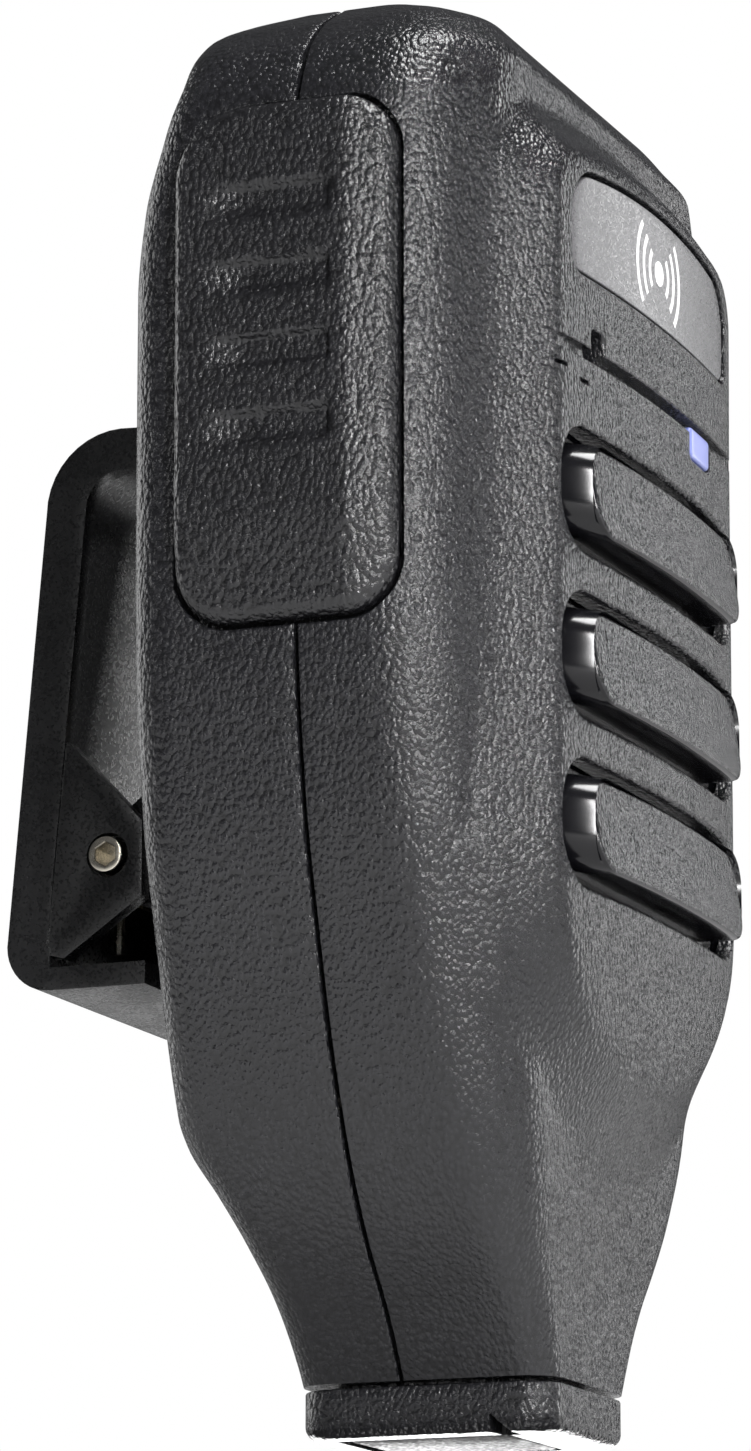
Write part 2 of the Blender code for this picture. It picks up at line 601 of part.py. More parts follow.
# ---- front pieces -------------------------------------------------------------------------------------------
def speaker_grille():
    """A plate behind the front with three tilted bars that stand in the casing's slots."""
    edge = POCKET_HALF - GAP
    low, high = LOUVRE_TOPS[-1] - LOUVRE_HEIGHT - 1.6 * MM, LOUVRE_TOPS[0] + 1.6 * MM
    plate = rounded_box_outline((-edge, max(low, POCKET_BOTTOM + GAP)), (edge, high), (2.5 * MM,) * 4, 3)
    grille = flat("speaker_grille", [plate], GRILLE_FRONT, GRILLE_FRONT + GRILLE_PLATE, "XZ", GLOSS)
    for index, top in enumerate(LOUVRE_TOPS):
        outline = rounded_box_outline((-LOUVRE_HALF_LENGTH, top - LOUVRE_HEIGHT), (LOUVRE_HALF_LENGTH, top),
                                      (LOUVRE_CORNER,) * 4, 4)
        spread = 1 + LOUVRE_SPREAD / LOUVRE_HALF_LENGTH
        root = [(x * spread, GRILLE_FRONT + 0.5 * GRILLE_PLATE, z) for x, z in outline]
        faces = []
        for share in (1.0, 0.6):
            ring = [(x * share, top + (z - top) * (1 - 0.5 * (1 - share)) - 0.25 * (1 - share) * LOUVRE_HEIGHT)
                    for x, z in outline]
            faces.append([(x, louvre_face(x, z, top), z) for x, z in ring])
        join(grille, loft(f"louvre_{index}", [root] + faces))
    hole = 1.0 * MM
    for index, top in enumerate(LOUVRE_TOPS):
        below = top - LOUVRE_HEIGHT - LOUVRE_SLOT_GAP / 2
        for column in range(-2, 3):
            x = column * 5.6 * MM
            cut(grille, box(f"sound_slot_{index}_{column}", (x - 1.6 * MM, GRILLE_FRONT - MM, below - hole / 2),
                            (x + 1.6 * MM, CLOTH_FRONT + MM, below + 0.4 * hole)))
    return grille


def louvre_face(x, height, top):
    """A little proud of the panel at its top edge, and more at its bottom edge."""
    rise = LOUVRE_PROUD - LOUVRE_TOP_PROUD
    return panel_front(x, height) - LOUVRE_TOP_PROUD - rise * (top - height) / LOUVRE_HEIGHT


def speaker():
    centre = (0, 0, SPEAKER_Z)
    rim = SPEAKER_RADIUS
    turned("speaker_cloth", [(0, CLOTH_FRONT + CLOTH_THICK), (rim - MM, CLOTH_FRONT + CLOTH_THICK),
                             (rim - MM, CLOTH_FRONT), (0, CLOTH_FRONT)], centre, "Y", PAPER, steps=24)
    turned("speaker_gasket", [(rim - 2.6 * MM, GASKET_FRONT + GASKET_THICK),
                              (rim - 0.3 * MM, GASKET_FRONT + GASKET_THICK),
                              (rim - 0.3 * MM, GASKET_FRONT), (rim - 2.6 * MM, GASKET_FRONT)],
           centre, "Y", RUBBER, steps=24, ring=True)
    face = SPEAKER_FRONT
    turned("speaker_frame", [(10.4 * MM, face + 4.8 * MM), (10.9 * MM, face + 4.8 * MM), (rim, face + 1.0 * MM),
                             (rim, face), (rim - 1.4 * MM, face), (rim - 1.4 * MM, face + 0.6 * MM),
                             (9.9 * MM, face + 4.2 * MM), (9.3 * MM, face + 4.8 * MM)],
           centre, "Y", STEEL, steps=28, ring=True)
    turned("speaker_cone", [(0, face + 1.6 * MM), (3.2 * MM, face + 2.0 * MM), (4.0 * MM, face + 3.9 * MM),
                            (rim - 2.6 * MM, face + 0.7 * MM), (rim - 2.6 * MM, face + 0.2 * MM),
                            (4.2 * MM, face + 3.3 * MM), (3.4 * MM, face + 1.4 * MM), (0, face + 0.9 * MM)],
           centre, "Y", PAPER, steps=24)
    start = face + 4.8 * MM + GAP
    end = min(BOARD_FRONT - 0.5 * MM, face + SPEAKER_DEPTH)
    turned("speaker_magnet", [(0, end), (8.6 * MM, end), (9.2 * MM, end - 0.6 * MM), (9.2 * MM, start),
                              (0, start)], centre, "Y", STEEL, steps=24)


def microphone():
    centre = (SOUND_X, 0, SOUND_Z + 0.6 * MM)
    start = POCKET_Y + GAP
    boot = CAPSULE_RADIUS + 0.8 * MM
    end = start + CAPSULE_LENGTH + 1.0 * MM
    turned("microphone_boot", [(CAPSULE_RADIUS + 0.15 * MM, end), (boot, end), (boot, start),
                               (1.2 * MM, start), (1.2 * MM, start + 0.6 * MM),
                               (CAPSULE_RADIUS + 0.15 * MM, start + 0.6 * MM)],
           centre, "Y", RUBBER, steps=20, ring=True)
    front_end = start + 0.6 * MM + 0.2 * MM
    turned("microphone_capsule", [(0, front_end + CAPSULE_LENGTH), (CAPSULE_RADIUS - 0.15 * MM,
                                                                     front_end + CAPSULE_LENGTH),
                                  (CAPSULE_RADIUS - 0.15 * MM, front_end), (0, front_end)],
           centre, "Y", STEEL, steps=20)


def lamp():
    """The lens: a block in its window, a lip behind the wall and a light pipe down to the lamp."""
    half_x, half_z = LAMP_SIZE[0] / 2, LAMP_SIZE[1] / 2
    face = panel_front(LAMP_X, LAMP_Z) - 0.1 * MM
    lip, lamp_front = POCKET_Y + GAP, BOARD_FRONT - 1.0 * MM
    lens = box("lamp_lens", (LAMP_X - half_x, face, LAMP_Z - half_z),
               (LAMP_X + half_x, lip + 0.4 * MM, LAMP_Z + half_z), LENS, bevel=0.25 * MM)
    join(lens, box("lamp_lip", (LAMP_X - half_x - LAMP_LIP, lip, LAMP_Z - half_z - LAMP_LIP),
                   (LAMP_X + half_x + LAMP_LIP, lip + 0.8 * MM, LAMP_Z + half_z + LAMP_LIP)))
    join(lens, rod("light_pipe", LIGHT_PIPE_RADIUS, (LAMP_X, lip + 0.5 * MM, LAMP_Z),
                   lamp_front - GAP - lip - 0.5 * MM, "Y", segments=16))
    box("status_lamp", (LAMP_X - 0.8 * MM, lamp_front, LAMP_Z - 0.5 * MM),
        (LAMP_X + 0.8 * MM, BOARD_FRONT - 0.2 * MM, LAMP_Z + 0.5 * MM), LENS)


# ---- buttons -----------------------------------------------------------------------------------------------
def raised_button(name, outline_at, face_x, flange_x, edge, direction, material):
    """A cap that stands out of the casing along direction (-1 or 1) with a flange behind the wall."""
    post = 1.0 * MM
    rings = [(PTT_FLANGE, flange_x - direction * 0.8 * MM), (PTT_FLANGE, flange_x), (0.0, flange_x),
             (0.0, face_x - direction * edge), (-0.35 * edge, face_x - direction * 0.3 * edge),
             (-edge, face_x)]
    made = loft(name, [[(x, y, z) for y, z in outline_at(grow)] for grow, x in rings], material)
    return made, flange_x - direction * (0.8 * MM + post)


def ptt_button():
    button, post_x = raised_button("ptt_button", button_outline, PTT_FACE_X, PTT_FLANGE_X, PTT_EDGE, -1,
                                   BUTTON)
    middle = (PTT_TOP + PTT_BOTTOM) / 2
    run = PTT_CHAMFER_START - PTT_FRONT
    wedge = [(PTT_CHAMFER_START, PTT_FACE_X), (PTT_FRONT - MM, PTT_FACE_X + PTT_CHAMFER_FALL * (1 + MM / run)),
             (PTT_FRONT - MM, PTT_FACE_X - 2 * MM), (PTT_CHAMFER_START, PTT_FACE_X - 2 * MM)]
    rings = [[(x, y, z) for y, x in wedge] for z in (PTT_BOTTOM - 2 * MM, PTT_TOP + 2 * MM)]
    cut(button, loft("ptt_chamfer", rings))
    rib_middle = (PTT_REAR + PTT_CHAMFER_START) / 2 - RIB_SHIFT
    for index in range(RIB_COUNT):
        top = PTT_TOP - RIB_TOP_DROP - index * RIB_PITCH
        rib = rounded_box_outline((rib_middle - RIB_LENGTH / 2, top - RIB_HEIGHT),
                                  (rib_middle + RIB_LENGTH / 2, top), (0.49 * RIB_HEIGHT,) * 4, 3)
        cut(button, flat(f"rib_{index}", [rib], PTT_FACE_X - MM, PTT_FACE_X + RIB_DEPTH, "YZ"))
    join(button, box("ptt_post", (PTT_FLANGE_X + 0.4 * MM, -1.6 * MM, middle - 2 * MM),
                     (post_x, 1.6 * MM, middle + 2 * MM)))
    tip = post_x + PTT_TRAVEL + GAP
    switch = box("ptt_switch", (-BOARD_HALF + GAP, BOARD_BACK + GAP, middle - 3 * MM),
                 (-BOARD_HALF + 3.6 * MM, BOARD_BACK + 3.4 * MM, middle + 3 * MM), BUTTON, bevel=0.3 * MM)
    if tip < -BOARD_HALF:
        join(switch, rod("ptt_plunger", 0.9 * MM, (tip, BOARD_BACK + 1.9 * MM, middle),
                         -BOARD_HALF + MM - tip, "X", segments=12))
    return button


def power_key():
    face, flange_x = HALF_WIDTH + KEY_PROUD, HALF_WIDTH - WALL - GAP
    key, post_x = raised_button("power_key", key_outline, face, flange_x, 0.5 * MM, 1, BUTTON)
    middle = KEY_TOP - KEY_LENGTH / 2
    join(key, box("key_post", (post_x, -1.2 * MM, middle - 1.5 * MM),
                  (flange_x - 0.4 * MM, 1.2 * MM, middle + 1.5 * MM)))
    tip = post_x - KEY_TRAVEL - GAP
    switch = box("power_switch", (BOARD_HALF - 3.6 * MM, BOARD_BACK + GAP, middle - 2.6 * MM),
                 (BOARD_HALF - GAP, BOARD_BACK + 2.6 * MM, middle + 2.6 * MM), BUTTON, bevel=0.3 * MM)
    if tip > BOARD_HALF:
        join(switch, rod("key_plunger", 0.7 * MM, (BOARD_HALF - MM, BOARD_BACK + 1.4 * MM, middle),
                         tip - BOARD_HALF + MM, "X", segments=12))
    return key


# ---- inside ------------------------------------------------------------------------------------------------
def electronics():
    tongue, waist = 4.6 * MM, LOWER_SCREW[0] - BOSS_RADIUS - 1.0 * MM
    low = CAP_HEIGHT + GAP + SOCKET_SIZE[2] - 2 * MM
    right = [(tongue, low), (tongue, 15 * MM), (waist, 19 * MM), (waist, LOWER_SCREW[1] + 6 * MM),
             (BOARD_HALF, LOWER_SCREW[1] + 11 * MM), (BOARD_HALF, BOARD_TOP - 2 * MM),
             (BOARD_HALF - 2 * MM, BOARD_TOP)]
    flat("circuit_board", [right + [(-x, z) for x, z in reversed(right)]], BOARD_FRONT, BOARD_BACK, "XZ", BOARD)
    width, depth, height = BATTERY_SIZE
    low = SPEAKER_Z - height / 2
    box("battery_cell", (-width / 2, BATTERY_FRONT, low), (width / 2, BATTERY_FRONT + depth, low + height),
        CELL, bevel=1.2 * MM)
    pad = SWIVEL_Z + 5.0 * MM
    box("battery_pad", (-12 * MM, BATTERY_FRONT + depth + GAP, pad),
        (12 * MM, BACK_DEPTH - WALL - GAP, pad + 8 * MM), RUBBER)
    top = low + height + 1.2 * MM
    box("radio_module", (-8 * MM, BOARD_BACK + GAP, top), (8 * MM, BOARD_BACK + 2.4 * MM, BOARD_TOP - 1.5 * MM),
        STEEL, bevel=0.3 * MM)


def base():
    """Base cap, the charging socket inside it and the rubber cover under it."""
    rings = [section(0.0, CAP_EDGE, CAP_HEIGHT), section(0.35 * CAP_EDGE, 0.3 * CAP_EDGE, CAP_HEIGHT),
             section(CAP_EDGE, 0.0, CAP_HEIGHT), section(CAP_HEIGHT, 0.0, CAP_HEIGHT)]
    cap = loft("base_cap", rings, CASING)
    collar = loft("cap_collar", [section(CAP_HEIGHT - MM, WALL + GAP, CAP_HEIGHT),
                                 section(CAP_HEIGHT + 1.6 * MM, WALL + GAP, CAP_HEIGHT)])
    join(cap, collar)
    half = COVER_HALF + GAP
    cut(cap, box("cover_recess", (-half, COVER_FRONT - GAP, -MM),
                 (half, COVER_HINGE + COVER_THICK / 2 + GAP, COVER_THICK + GAP)))
    width, depth, height = SOCKET_SIZE
    middle = BOARD_FRONT - depth / 2 - GAP
    cut(cap, box("socket_hole", (-width / 2 - GAP, middle - depth / 2 - GAP, -MM),
                 (width / 2 + GAP, middle + depth / 2 + GAP, 10 * MM)))
    notch = [(COVER_FRONT - 2.2 * MM, -MM), (COVER_FRONT + 0.2 * MM, -MM), (COVER_FRONT + 0.2 * MM, 1.3 * MM)]
    cut(cap, flat("lift_notch", [notch], -NECK_HALF_WIDTH - MM, -COVER_HALF, "YZ"))
    socket_low = COVER_THICK + 2 * GAP + 0.4 * MM
    socket = box("charge_socket", (-width / 2, middle - depth / 2, socket_low),
                 (width / 2, middle + depth / 2, socket_low + height), STEEL)
    cut(socket, box("socket_mouth", (-width / 2 + SOCKET_WALL, middle - depth / 2 + SOCKET_WALL, 0),
                    (width / 2 - SOCKET_WALL, middle + depth / 2 - SOCKET_WALL, socket_low + height - MM)))
    cover_hinge = [(COVER_HINGE + COVER_THICK / 2 * math.cos(angle), COVER_THICK / 2 * (1 + math.sin(angle)))
                   for angle in [math.pi / 2 * (step / 4 - 1) for step in range(9)]]
    flap = flat("port_cover", [[(COVER_FRONT, 0.0)] + cover_hinge + [(COVER_FRONT, COVER_THICK)]],
                -COVER_HALF, COVER_HALF, "YZ", RUBBER)
    plug_x, plug_y = PLUG_HALF
    join(flap, box("cover_plug", (-plug_x, middle - plug_y + 0.2 * MM, COVER_THICK - 0.4 * MM),
                   (plug_x, middle + plug_y - 0.2 * MM, COVER_THICK + PLUG_DEPTH)))
    return flap


# ---- belt clip ---------------------------------------------------------------------------------------------
def bracket():
    """The clip's turning base: a disc with two ears that hold the pin."""
    plate_low = PIN_Z - 5.0 * MM
    inner = CLIP_HALF - CLIP_WALL - GAP
    made = rod("clip_bracket", BRACKET_RADIUS, (0, BRACKET_Y, SWIVEL_Z), BRACKET_THICK, "Y", CLIP, 40)
    join(made, box("bracket_plate", (-inner, BRACKET_Y, plate_low), (inner, BRACKET_Y + BRACKET_THICK, SWIVEL_Z)))
    ear = [(BRACKET_Y + 0.5 * BRACKET_THICK, plate_low + 0.4 * MM), (PIN_Y + 0.6 * MM, PIN_Z - 2.4 * MM),
           (PIN_Y + 2.4 * MM, PIN_Z - 1.2 * MM), (PIN_Y + 2.4 * MM, PIN_Z + 1.2 * MM),
           (PIN_Y + 0.6 * MM, PIN_Z + 2.4 * MM), (BRACKET_Y + 0.5 * BRACKET_THICK, PIN_Z + 7 * MM)]
    for side in (-1, 1):
        join(made, flat(f"bracket_ear_{side + 1}", [ear], side * (inner - EAR_WALL), side * inner, "YZ"))
    cut(made, rod("bracket_pin_hole", PIN_RADIUS + GAP, (-0.02, PIN_Y, PIN_Z), 0.04, "X", segments=20))
    cut(made, rod("bracket_hole", SWIVEL_SCREW_RADIUS + GAP, (0, 0, SWIVEL_Z), 0.03, "Y", segments=20))
    head = BRACKET_Y + BRACKET_THICK + GAP
    turned("swivel_screw", [(0, head + SWIVEL_HEAD), (0.75 * SWIVEL_HEAD_RADIUS, head + SWIVEL_HEAD),
                            (SWIVEL_HEAD_RADIUS, head + 0.4 * SWIVEL_HEAD), (SWIVEL_HEAD_RADIUS, head),
                            (SWIVEL_SCREW_RADIUS, head), (SWIVEL_SCREW_RADIUS, BACK_DEPTH - WALL - 1.2 * MM),
                            (0, BACK_DEPTH - WALL - 1.2 * MM)], (0, 0, SWIVEL_Z), "Y", STEEL, steps=20)
    return made


def clip_line(offset):
    """Side view of the lever's outer line, as (y, z), moved inwards by offset."""
    top, bottom = SWIVEL_Z + CLIP_TOP - offset, SWIVEL_Z - CLIP_BOTTOM + offset
    high_y = BACK_DEPTH + CLIP_REACH_TOP - offset
    low_y = BACK_DEPTH + CLIP_REACH_BOTTOM - offset
    bend, lower_bend = CLIP_BEND - offset, max(CLIP_LOWER_BEND - offset, 0.2 * MM)
    line = [(BACK_DEPTH + JAW_GAP, top - 0.3 * MM)]
    for step in range(6):
        angle = math.pi / 2 * (1 - step / 5)
        line.append((high_y - bend + bend * math.cos(angle), top - bend + bend * math.sin(angle)))
    for step in range(6):
        angle = -math.pi / 2 * step / 5
        line.append((low_y - lower_bend + lower_bend * math.cos(angle),
                     bottom + lower_bend + lower_bend * math.sin(angle)))
    line.append((BACK_DEPTH + THUMB_GAP, bottom))
    return line


def lever():
    """The sprung lever: a bent sheet with side flanges and an ear on each flange for the pin."""
    outer, inner = clip_line(0.0), clip_line(CLIP_WALL)
    sheet = outer + list(reversed(inner))
    made = flat("clip_lever", [sheet], -CLIP_HALF, CLIP_HALF, "YZ", CLIP)
    flange = outer[:-1] + list(reversed(clip_line(CLIP_FLANGE)[:-1]))
    ear = [(PIN_Y + 3.0 * MM, PIN_Z + 8.2 * MM), (PIN_Y - 2.6 * MM, PIN_Z + 2.2 * MM),
           (PIN_Y - 2.6 * MM, PIN_Z - 3.0 * MM), (PIN_Y + 3.2 * MM, PIN_Z - 7.0 * MM)]
    for side in (-1, 1):
        near, far = side * (CLIP_HALF - EAR_WALL), side * CLIP_HALF
        join(made, flat(f"clip_flange_{side + 1}", [flange], near, far, "YZ"))
        ear_outline = ear + [(PIN_Y + 5.5 * MM, PIN_Z - 6.4 * MM), (PIN_Y + 5.0 * MM, PIN_Z + 7.6 * MM)]
        join(made, flat(f"clip_ear_{side + 1}", [ear_outline], side * (CLIP_HALF - EAR_WALL),
                        side * (CLIP_HALF - 0.2 * MM), "YZ"))
    jaw_low = SWIVEL_Z + CLIP_TOP - 3.6 * MM
    join(made, box("jaw_block", (-CLIP_HALF + 0.4 * MM, BACK_DEPTH + JAW_GAP, jaw_low),
                   (CLIP_HALF - 0.4 * MM, BACK_DEPTH + JAW_GAP + 2.4 * MM, SWIVEL_Z + CLIP_TOP - 0.6 * MM)))
    cut(made, rod("clip_pin_hole", PIN_RADIUS + GAP, (-0.02, PIN_Y, PIN_Z), 0.04, "X", segments=20))
    return made


def pin_and_spring():
    end = CLIP_HALF + 0.2 * MM
    turned("clip_pin", [(PIN_RADIUS - PIN_WALL, end), (PIN_RADIUS, end), (PIN_RADIUS, -end),
                        (PIN_RADIUS - PIN_WALL, -end)], (0, PIN_Y, PIN_Z), "X", STEEL, steps=18, ring=True)
    wire = bpy.data.curves.new("clip_spring", "CURVE")
    wire.dimensions = "3D"
    wire.fill_mode = "FULL"
    wire.bevel_depth = SPRING_WIRE
    wire.bevel_resolution = 2
    wire.use_fill_caps = True
    per_turn = 14
    count = SPRING_TURNS * per_turn
    route = [(-SPRING_HALF, SPRING_RADIUS, -5.6 * MM), (-SPRING_HALF, SPRING_RADIUS, -2.5 * MM)]
    for step in range(count + 1):
        angle = 2 * math.pi * step / per_turn
        route.append((-SPRING_HALF + 2 * SPRING_HALF * step / count, SPRING_RADIUS * math.cos(angle),
                      SPRING_RADIUS * math.sin(angle)))
    route += [(SPRING_HALF, SPRING_RADIUS, -2.5 * MM), (SPRING_HALF, SPRING_RADIUS, -5.6 * MM)]
    spline = wire.splines.new("POLY")
    spline.points.add(len(route) - 1)
    for point, co in zip(spline.points, route):
        point.co = (*co, 1)
    spring = bpy.data.objects.new("clip_spring", wire)
    spring.location = (0, PIN_Y, PIN_Z)
    wire.materials.append(STEEL)
    PARTS.objects.link(spring)


# ---- joints ------------------------------------------------------------------------------------------------
def hang(axis_name, point, *names):
    """An empty on a joint's axis, with the pieces that move with it."""
    axis = bpy.data.objects.new(axis_name, None)
    axis.location = point
    PARTS.objects.link(axis)
    bpy.context.view_layer.update()
    for name in names:
        piece = bpy.data.objects[name]
        piece.parent = axis
        piece.matrix_parent_inverse = axis.matrix_world.inverted()


def build():
    shared = casing_cutters()
    front_cover(shared)
    rear_cover(shared)
    badge_shape("badge_plate", 0.0, BADGE_SUNK + BADGE_THICK, BADGE_SUNK, BADGE)
    screws()
    speaker_grille()
    speaker()
    microphone()
    lamp()
    ptt_button()
    power_key()
    electronics()
    base()
    bracket()
    lever()
    pin_and_spring()
    hang("ptt_axis", (PTT_FACE_X, (PTT_REAR + PTT_FRONT) / 2, (PTT_TOP + PTT_BOTTOM) / 2), "ptt_button")
    hang("power_key_axis", (HALF_WIDTH, 0, KEY_TOP - KEY_LENGTH / 2), "power_key")
    hang("port_cover_axis", (0, COVER_HINGE, COVER_THICK / 2), "port_cover")
    hang("clip_swivel_axis", (0, BRACKET_Y, SWIVEL_Z), "clip_bracket", "clip_pin", "clip_spring")
    hang("clip_lever_axis", (0, PIN_Y, PIN_Z), "clip_lever")


build()
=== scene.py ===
# %% [markdown]
# # A hand microphone, finished piece by piece
# A hand microphone is a small loudspeaker, a microphone and a big button in a moulded casing that
# fits a palm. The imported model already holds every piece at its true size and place, so this lesson
# only adds what the eye looks for: soft moulded edges, leather grain, gloss, nickel and light.

# %% Load the frame
import json
import math

import bmesh
import bpy
import numpy as np
from mathutils import Matrix, Vector

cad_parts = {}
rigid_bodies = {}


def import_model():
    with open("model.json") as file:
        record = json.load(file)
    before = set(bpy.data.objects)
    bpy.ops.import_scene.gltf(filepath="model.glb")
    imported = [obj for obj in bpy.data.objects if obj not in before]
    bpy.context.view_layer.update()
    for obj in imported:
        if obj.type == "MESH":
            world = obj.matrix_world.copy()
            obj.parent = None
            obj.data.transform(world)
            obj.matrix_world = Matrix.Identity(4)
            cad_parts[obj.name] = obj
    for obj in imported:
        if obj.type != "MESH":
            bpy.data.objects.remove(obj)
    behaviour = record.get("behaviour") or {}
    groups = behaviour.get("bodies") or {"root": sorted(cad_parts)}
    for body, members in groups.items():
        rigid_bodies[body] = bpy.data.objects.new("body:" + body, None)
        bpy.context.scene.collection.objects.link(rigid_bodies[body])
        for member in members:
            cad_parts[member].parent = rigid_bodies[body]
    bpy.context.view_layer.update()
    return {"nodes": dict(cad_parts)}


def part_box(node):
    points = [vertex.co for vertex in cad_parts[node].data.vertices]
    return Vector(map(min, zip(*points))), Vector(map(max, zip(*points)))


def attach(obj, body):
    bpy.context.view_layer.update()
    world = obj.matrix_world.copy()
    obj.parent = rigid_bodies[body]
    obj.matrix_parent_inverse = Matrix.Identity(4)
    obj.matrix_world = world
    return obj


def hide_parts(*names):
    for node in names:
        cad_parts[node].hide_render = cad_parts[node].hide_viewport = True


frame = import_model()
nodes = frame["nodes"]
MM = 0.001

# %% [markdown]
# ## Camera
# The microphone is seen from its button side and a little from below, as when it hangs from a
# hand. A long lens from 40 cm keeps the edges nearly parallel.

# %% Place the camera
TARGET = Vector((-26.0, -5.5, 44.0)) * MM
AZIMUTH, ELEVATION = math.radians(-68.0), math.radians(-12.75)
DISTANCE = 394.8 * MM
SENSOR_HEIGHT = 36.0
LENS = 150.85

camera_data = bpy.data.cameras.new("camera")
camera_data.sensor_fit = "VERTICAL"
camera_data.sensor_height = SENSOR_HEIGHT
camera_data.lens = LENS
camera_data.clip_start = 0.01
camera = bpy.data.objects.new("camera", camera_data)
bpy.context.scene.collection.objects.link(camera)
away = Vector((math.sin(AZIMUTH) * math.cos(ELEVATION), -math.cos(AZIMUTH) * math.cos(ELEVATION),
               math.sin(ELEVATION)))
camera.location = TARGET + away * DISTANCE
camera.rotation_euler = (-away).to_track_quat("-Z", "Y").to_euler()
bpy.context.scene.camera = camera
print("camera at, mm:", [round(value / MM) for value in camera.location])

# %% [markdown]
# ## Curves that give the casing its form
# A moulded casing has few real corners. Its width, its back and its front each follow one smooth
# line from the neck to the top. Each line is a handful of stops joined by a curve that never
# overshoots, and it is sampled once, so that a whole mesh can be measured with it in one call.

# %% Smooth lines through stops
def smooth_line(stops, samples=1200):
    """Positions and values along the rounded line through the stops."""
    at = np.array([stop[0] for stop in stops], float)
    value = np.array([stop[1] for stop in stops], float)
    slope = np.diff(value) / np.diff(at)
    product = slope[:-1] * slope[1:]
    total = np.where(slope[:-1] + slope[1:] == 0, 1, slope[:-1] + slope[1:])
    middle = np.where(product > 0, 2 * product / total, 0)
    tangent = np.concatenate([slope[:1], middle, slope[-1:]])
    where = np.linspace(at[0], at[-1], samples)
    index = np.clip(np.searchsorted(at, where) - 1, 0, len(slope) - 1)
    span = at[index + 1] - at[index]
    t = (where - at[index]) / span
    line = (value[index] * (1 + 2 * t) * (1 - t) ** 2 + tangent[index] * span * t * (1 - t) ** 2
            + value[index + 1] * t * t * (3 - 2 * t) + tangent[index + 1] * span * t * t * (t - 1))
    return where, line


WIDTH_LINE = smooth_line(
    ((0.0, 0.0), (0.045, 0.14), (0.10, 0.36), (0.15, 0.51), (0.223, 0.667), (0.30, 0.79), (0.396, 0.92),
     (0.515, 0.993), (0.60, 1.0), (0.895, 1.0), (0.945, 0.915), (0.976, 0.77), (1.0, 0.58)))
BACK_LINE = smooth_line(
    ((0.0, 0.0), (0.04, 0.09), (0.07, 0.17), (0.10, 0.33), (0.132, 0.59), (0.167, 0.93), (0.186, 1.0),
     (0.773, 1.0), (0.836, 0.89), (0.906, 0.52), (0.935, 0.40), (0.973, 0.33), (0.984, 0.22),
     (0.992, -0.09), (1.0, -0.96)))
FRONT_LINE = smooth_line(
    ((0.0, 0.0), (0.07, 0.25), (0.14, 0.75), (0.20, 1.0), (0.951, 1.0), (0.973, 0.22), (0.9946, -0.83),
     (1.0, -1.7)))

print("lines sampled at", len(WIDTH_LINE[0]), "places")

# %% [markdown]
# ## Sizes of the casing
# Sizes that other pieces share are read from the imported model, so the finish follows it if it is ever
# remade. The others belong to the skin alone: the wall, the ledge, the panel's rise, the roundings.

# %% Sizes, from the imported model
front_low, front_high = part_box("front_cover")
rear_low, rear_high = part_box("rear_cover")
cap_low, cap_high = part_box("base_cap")
TOP = front_high.z
HALF_WIDTH = front_high.x
SEAM = rear_low.y                  # half of the gap between the two covers
GAP = 2 * SEAM
CAP_HEIGHT = front_low.z - GAP
NECK_HALF, NECK_BACK, NECK_FRONT = cap_high.x, cap_high.y, -cap_low.y
BOSS_RISE = 1.5 * MM
BACK = rear_high.y - BOSS_RISE
WALL = 1.6 * MM
LEDGE = 12.3 * MM                  # parting plane to the ledge round the raised panel
PANEL_RISE = 4.2 * MM
PANEL_CROWN = 1.0 * MM
CORNER = 2.8 * MM                  # rounding between the back and the sides
FACET, FACET_FALL = 6.6 * MM, 3.9 * MM
print("casing, mm: width", round(2 * HALF_WIDTH / MM, 1), "height", round(TOP / MM, 1))


def along(line, height, small, full):
    share = np.interp((height - CAP_HEIGHT) / (TOP - CAP_HEIGHT), *line)
    return small + share * (full - small)


def half_width(height):
    return along(WIDTH_LINE, height, NECK_HALF, HALF_WIDTH)


def back_at(height):
    return along(BACK_LINE, height, NECK_BACK, BACK)


def ledge_at(height):
    return -along(FRONT_LINE, height, NECK_FRONT, LEDGE)

# %% [markdown]
# ## One section through the casing
# Cut the microphone across and each cover is a shallow dish: a flat back or front, sloping facets
# and a side wall that stops at the seam. Corners are turned by short arcs, so light rolls over them
# instead of snapping. The seam's lip is rounded too, which draws the fine dark line between covers.

# %% Lines with turned corners
def rounded_path(corners, radii, straight_counts, arc_steps=6):
    """The line through the corners, each corner after the first turned by an arc."""
    points = []
    start = Vector(corners[0])
    for index in range(1, len(corners)):
        here = Vector(corners[index])
        last = index == len(corners) - 1
        into = here - Vector(corners[index - 1])
        radius = 0.0 if last else min(radii[index - 1], 0.45 * into.length,
                                      0.45 * (Vector(corners[index + 1]) - here).length)
        enter = here - into.normalized() * radius
        points += [start.lerp(enter, step / straight_counts[index - 1])
                   for step in range(straight_counts[index - 1])]
        if last:
            points.append(here)
            break
        leave = here + (Vector(corners[index + 1]) - here).normalized() * radius
        for step in range(arc_steps):
            t = step / arc_steps
            points.append((1 - t) ** 2 * enter + 2 * t * (1 - t) * here + t * t * leave)
        start = leave
    return points

# %% Half sections of the two covers
LIP = 0.16 * MM
FRONT_COLUMNS = 56
NECK_FACET, NECK_FALL = 1.4 * MM, 1.5 * MM
FACET_TURNS = [3.4 * MM, 1.6 * MM]


def facet_sizes(height, inset=0.0):
    """Half width, facet width and facet fall at a height."""
    size = (half_width(height) - NECK_HALF) / (HALF_WIDTH - NECK_HALF)
    return (half_width(height) - inset, NECK_FACET + size * (FACET - NECK_FACET),
            NECK_FALL + size * (FACET_FALL - NECK_FALL))


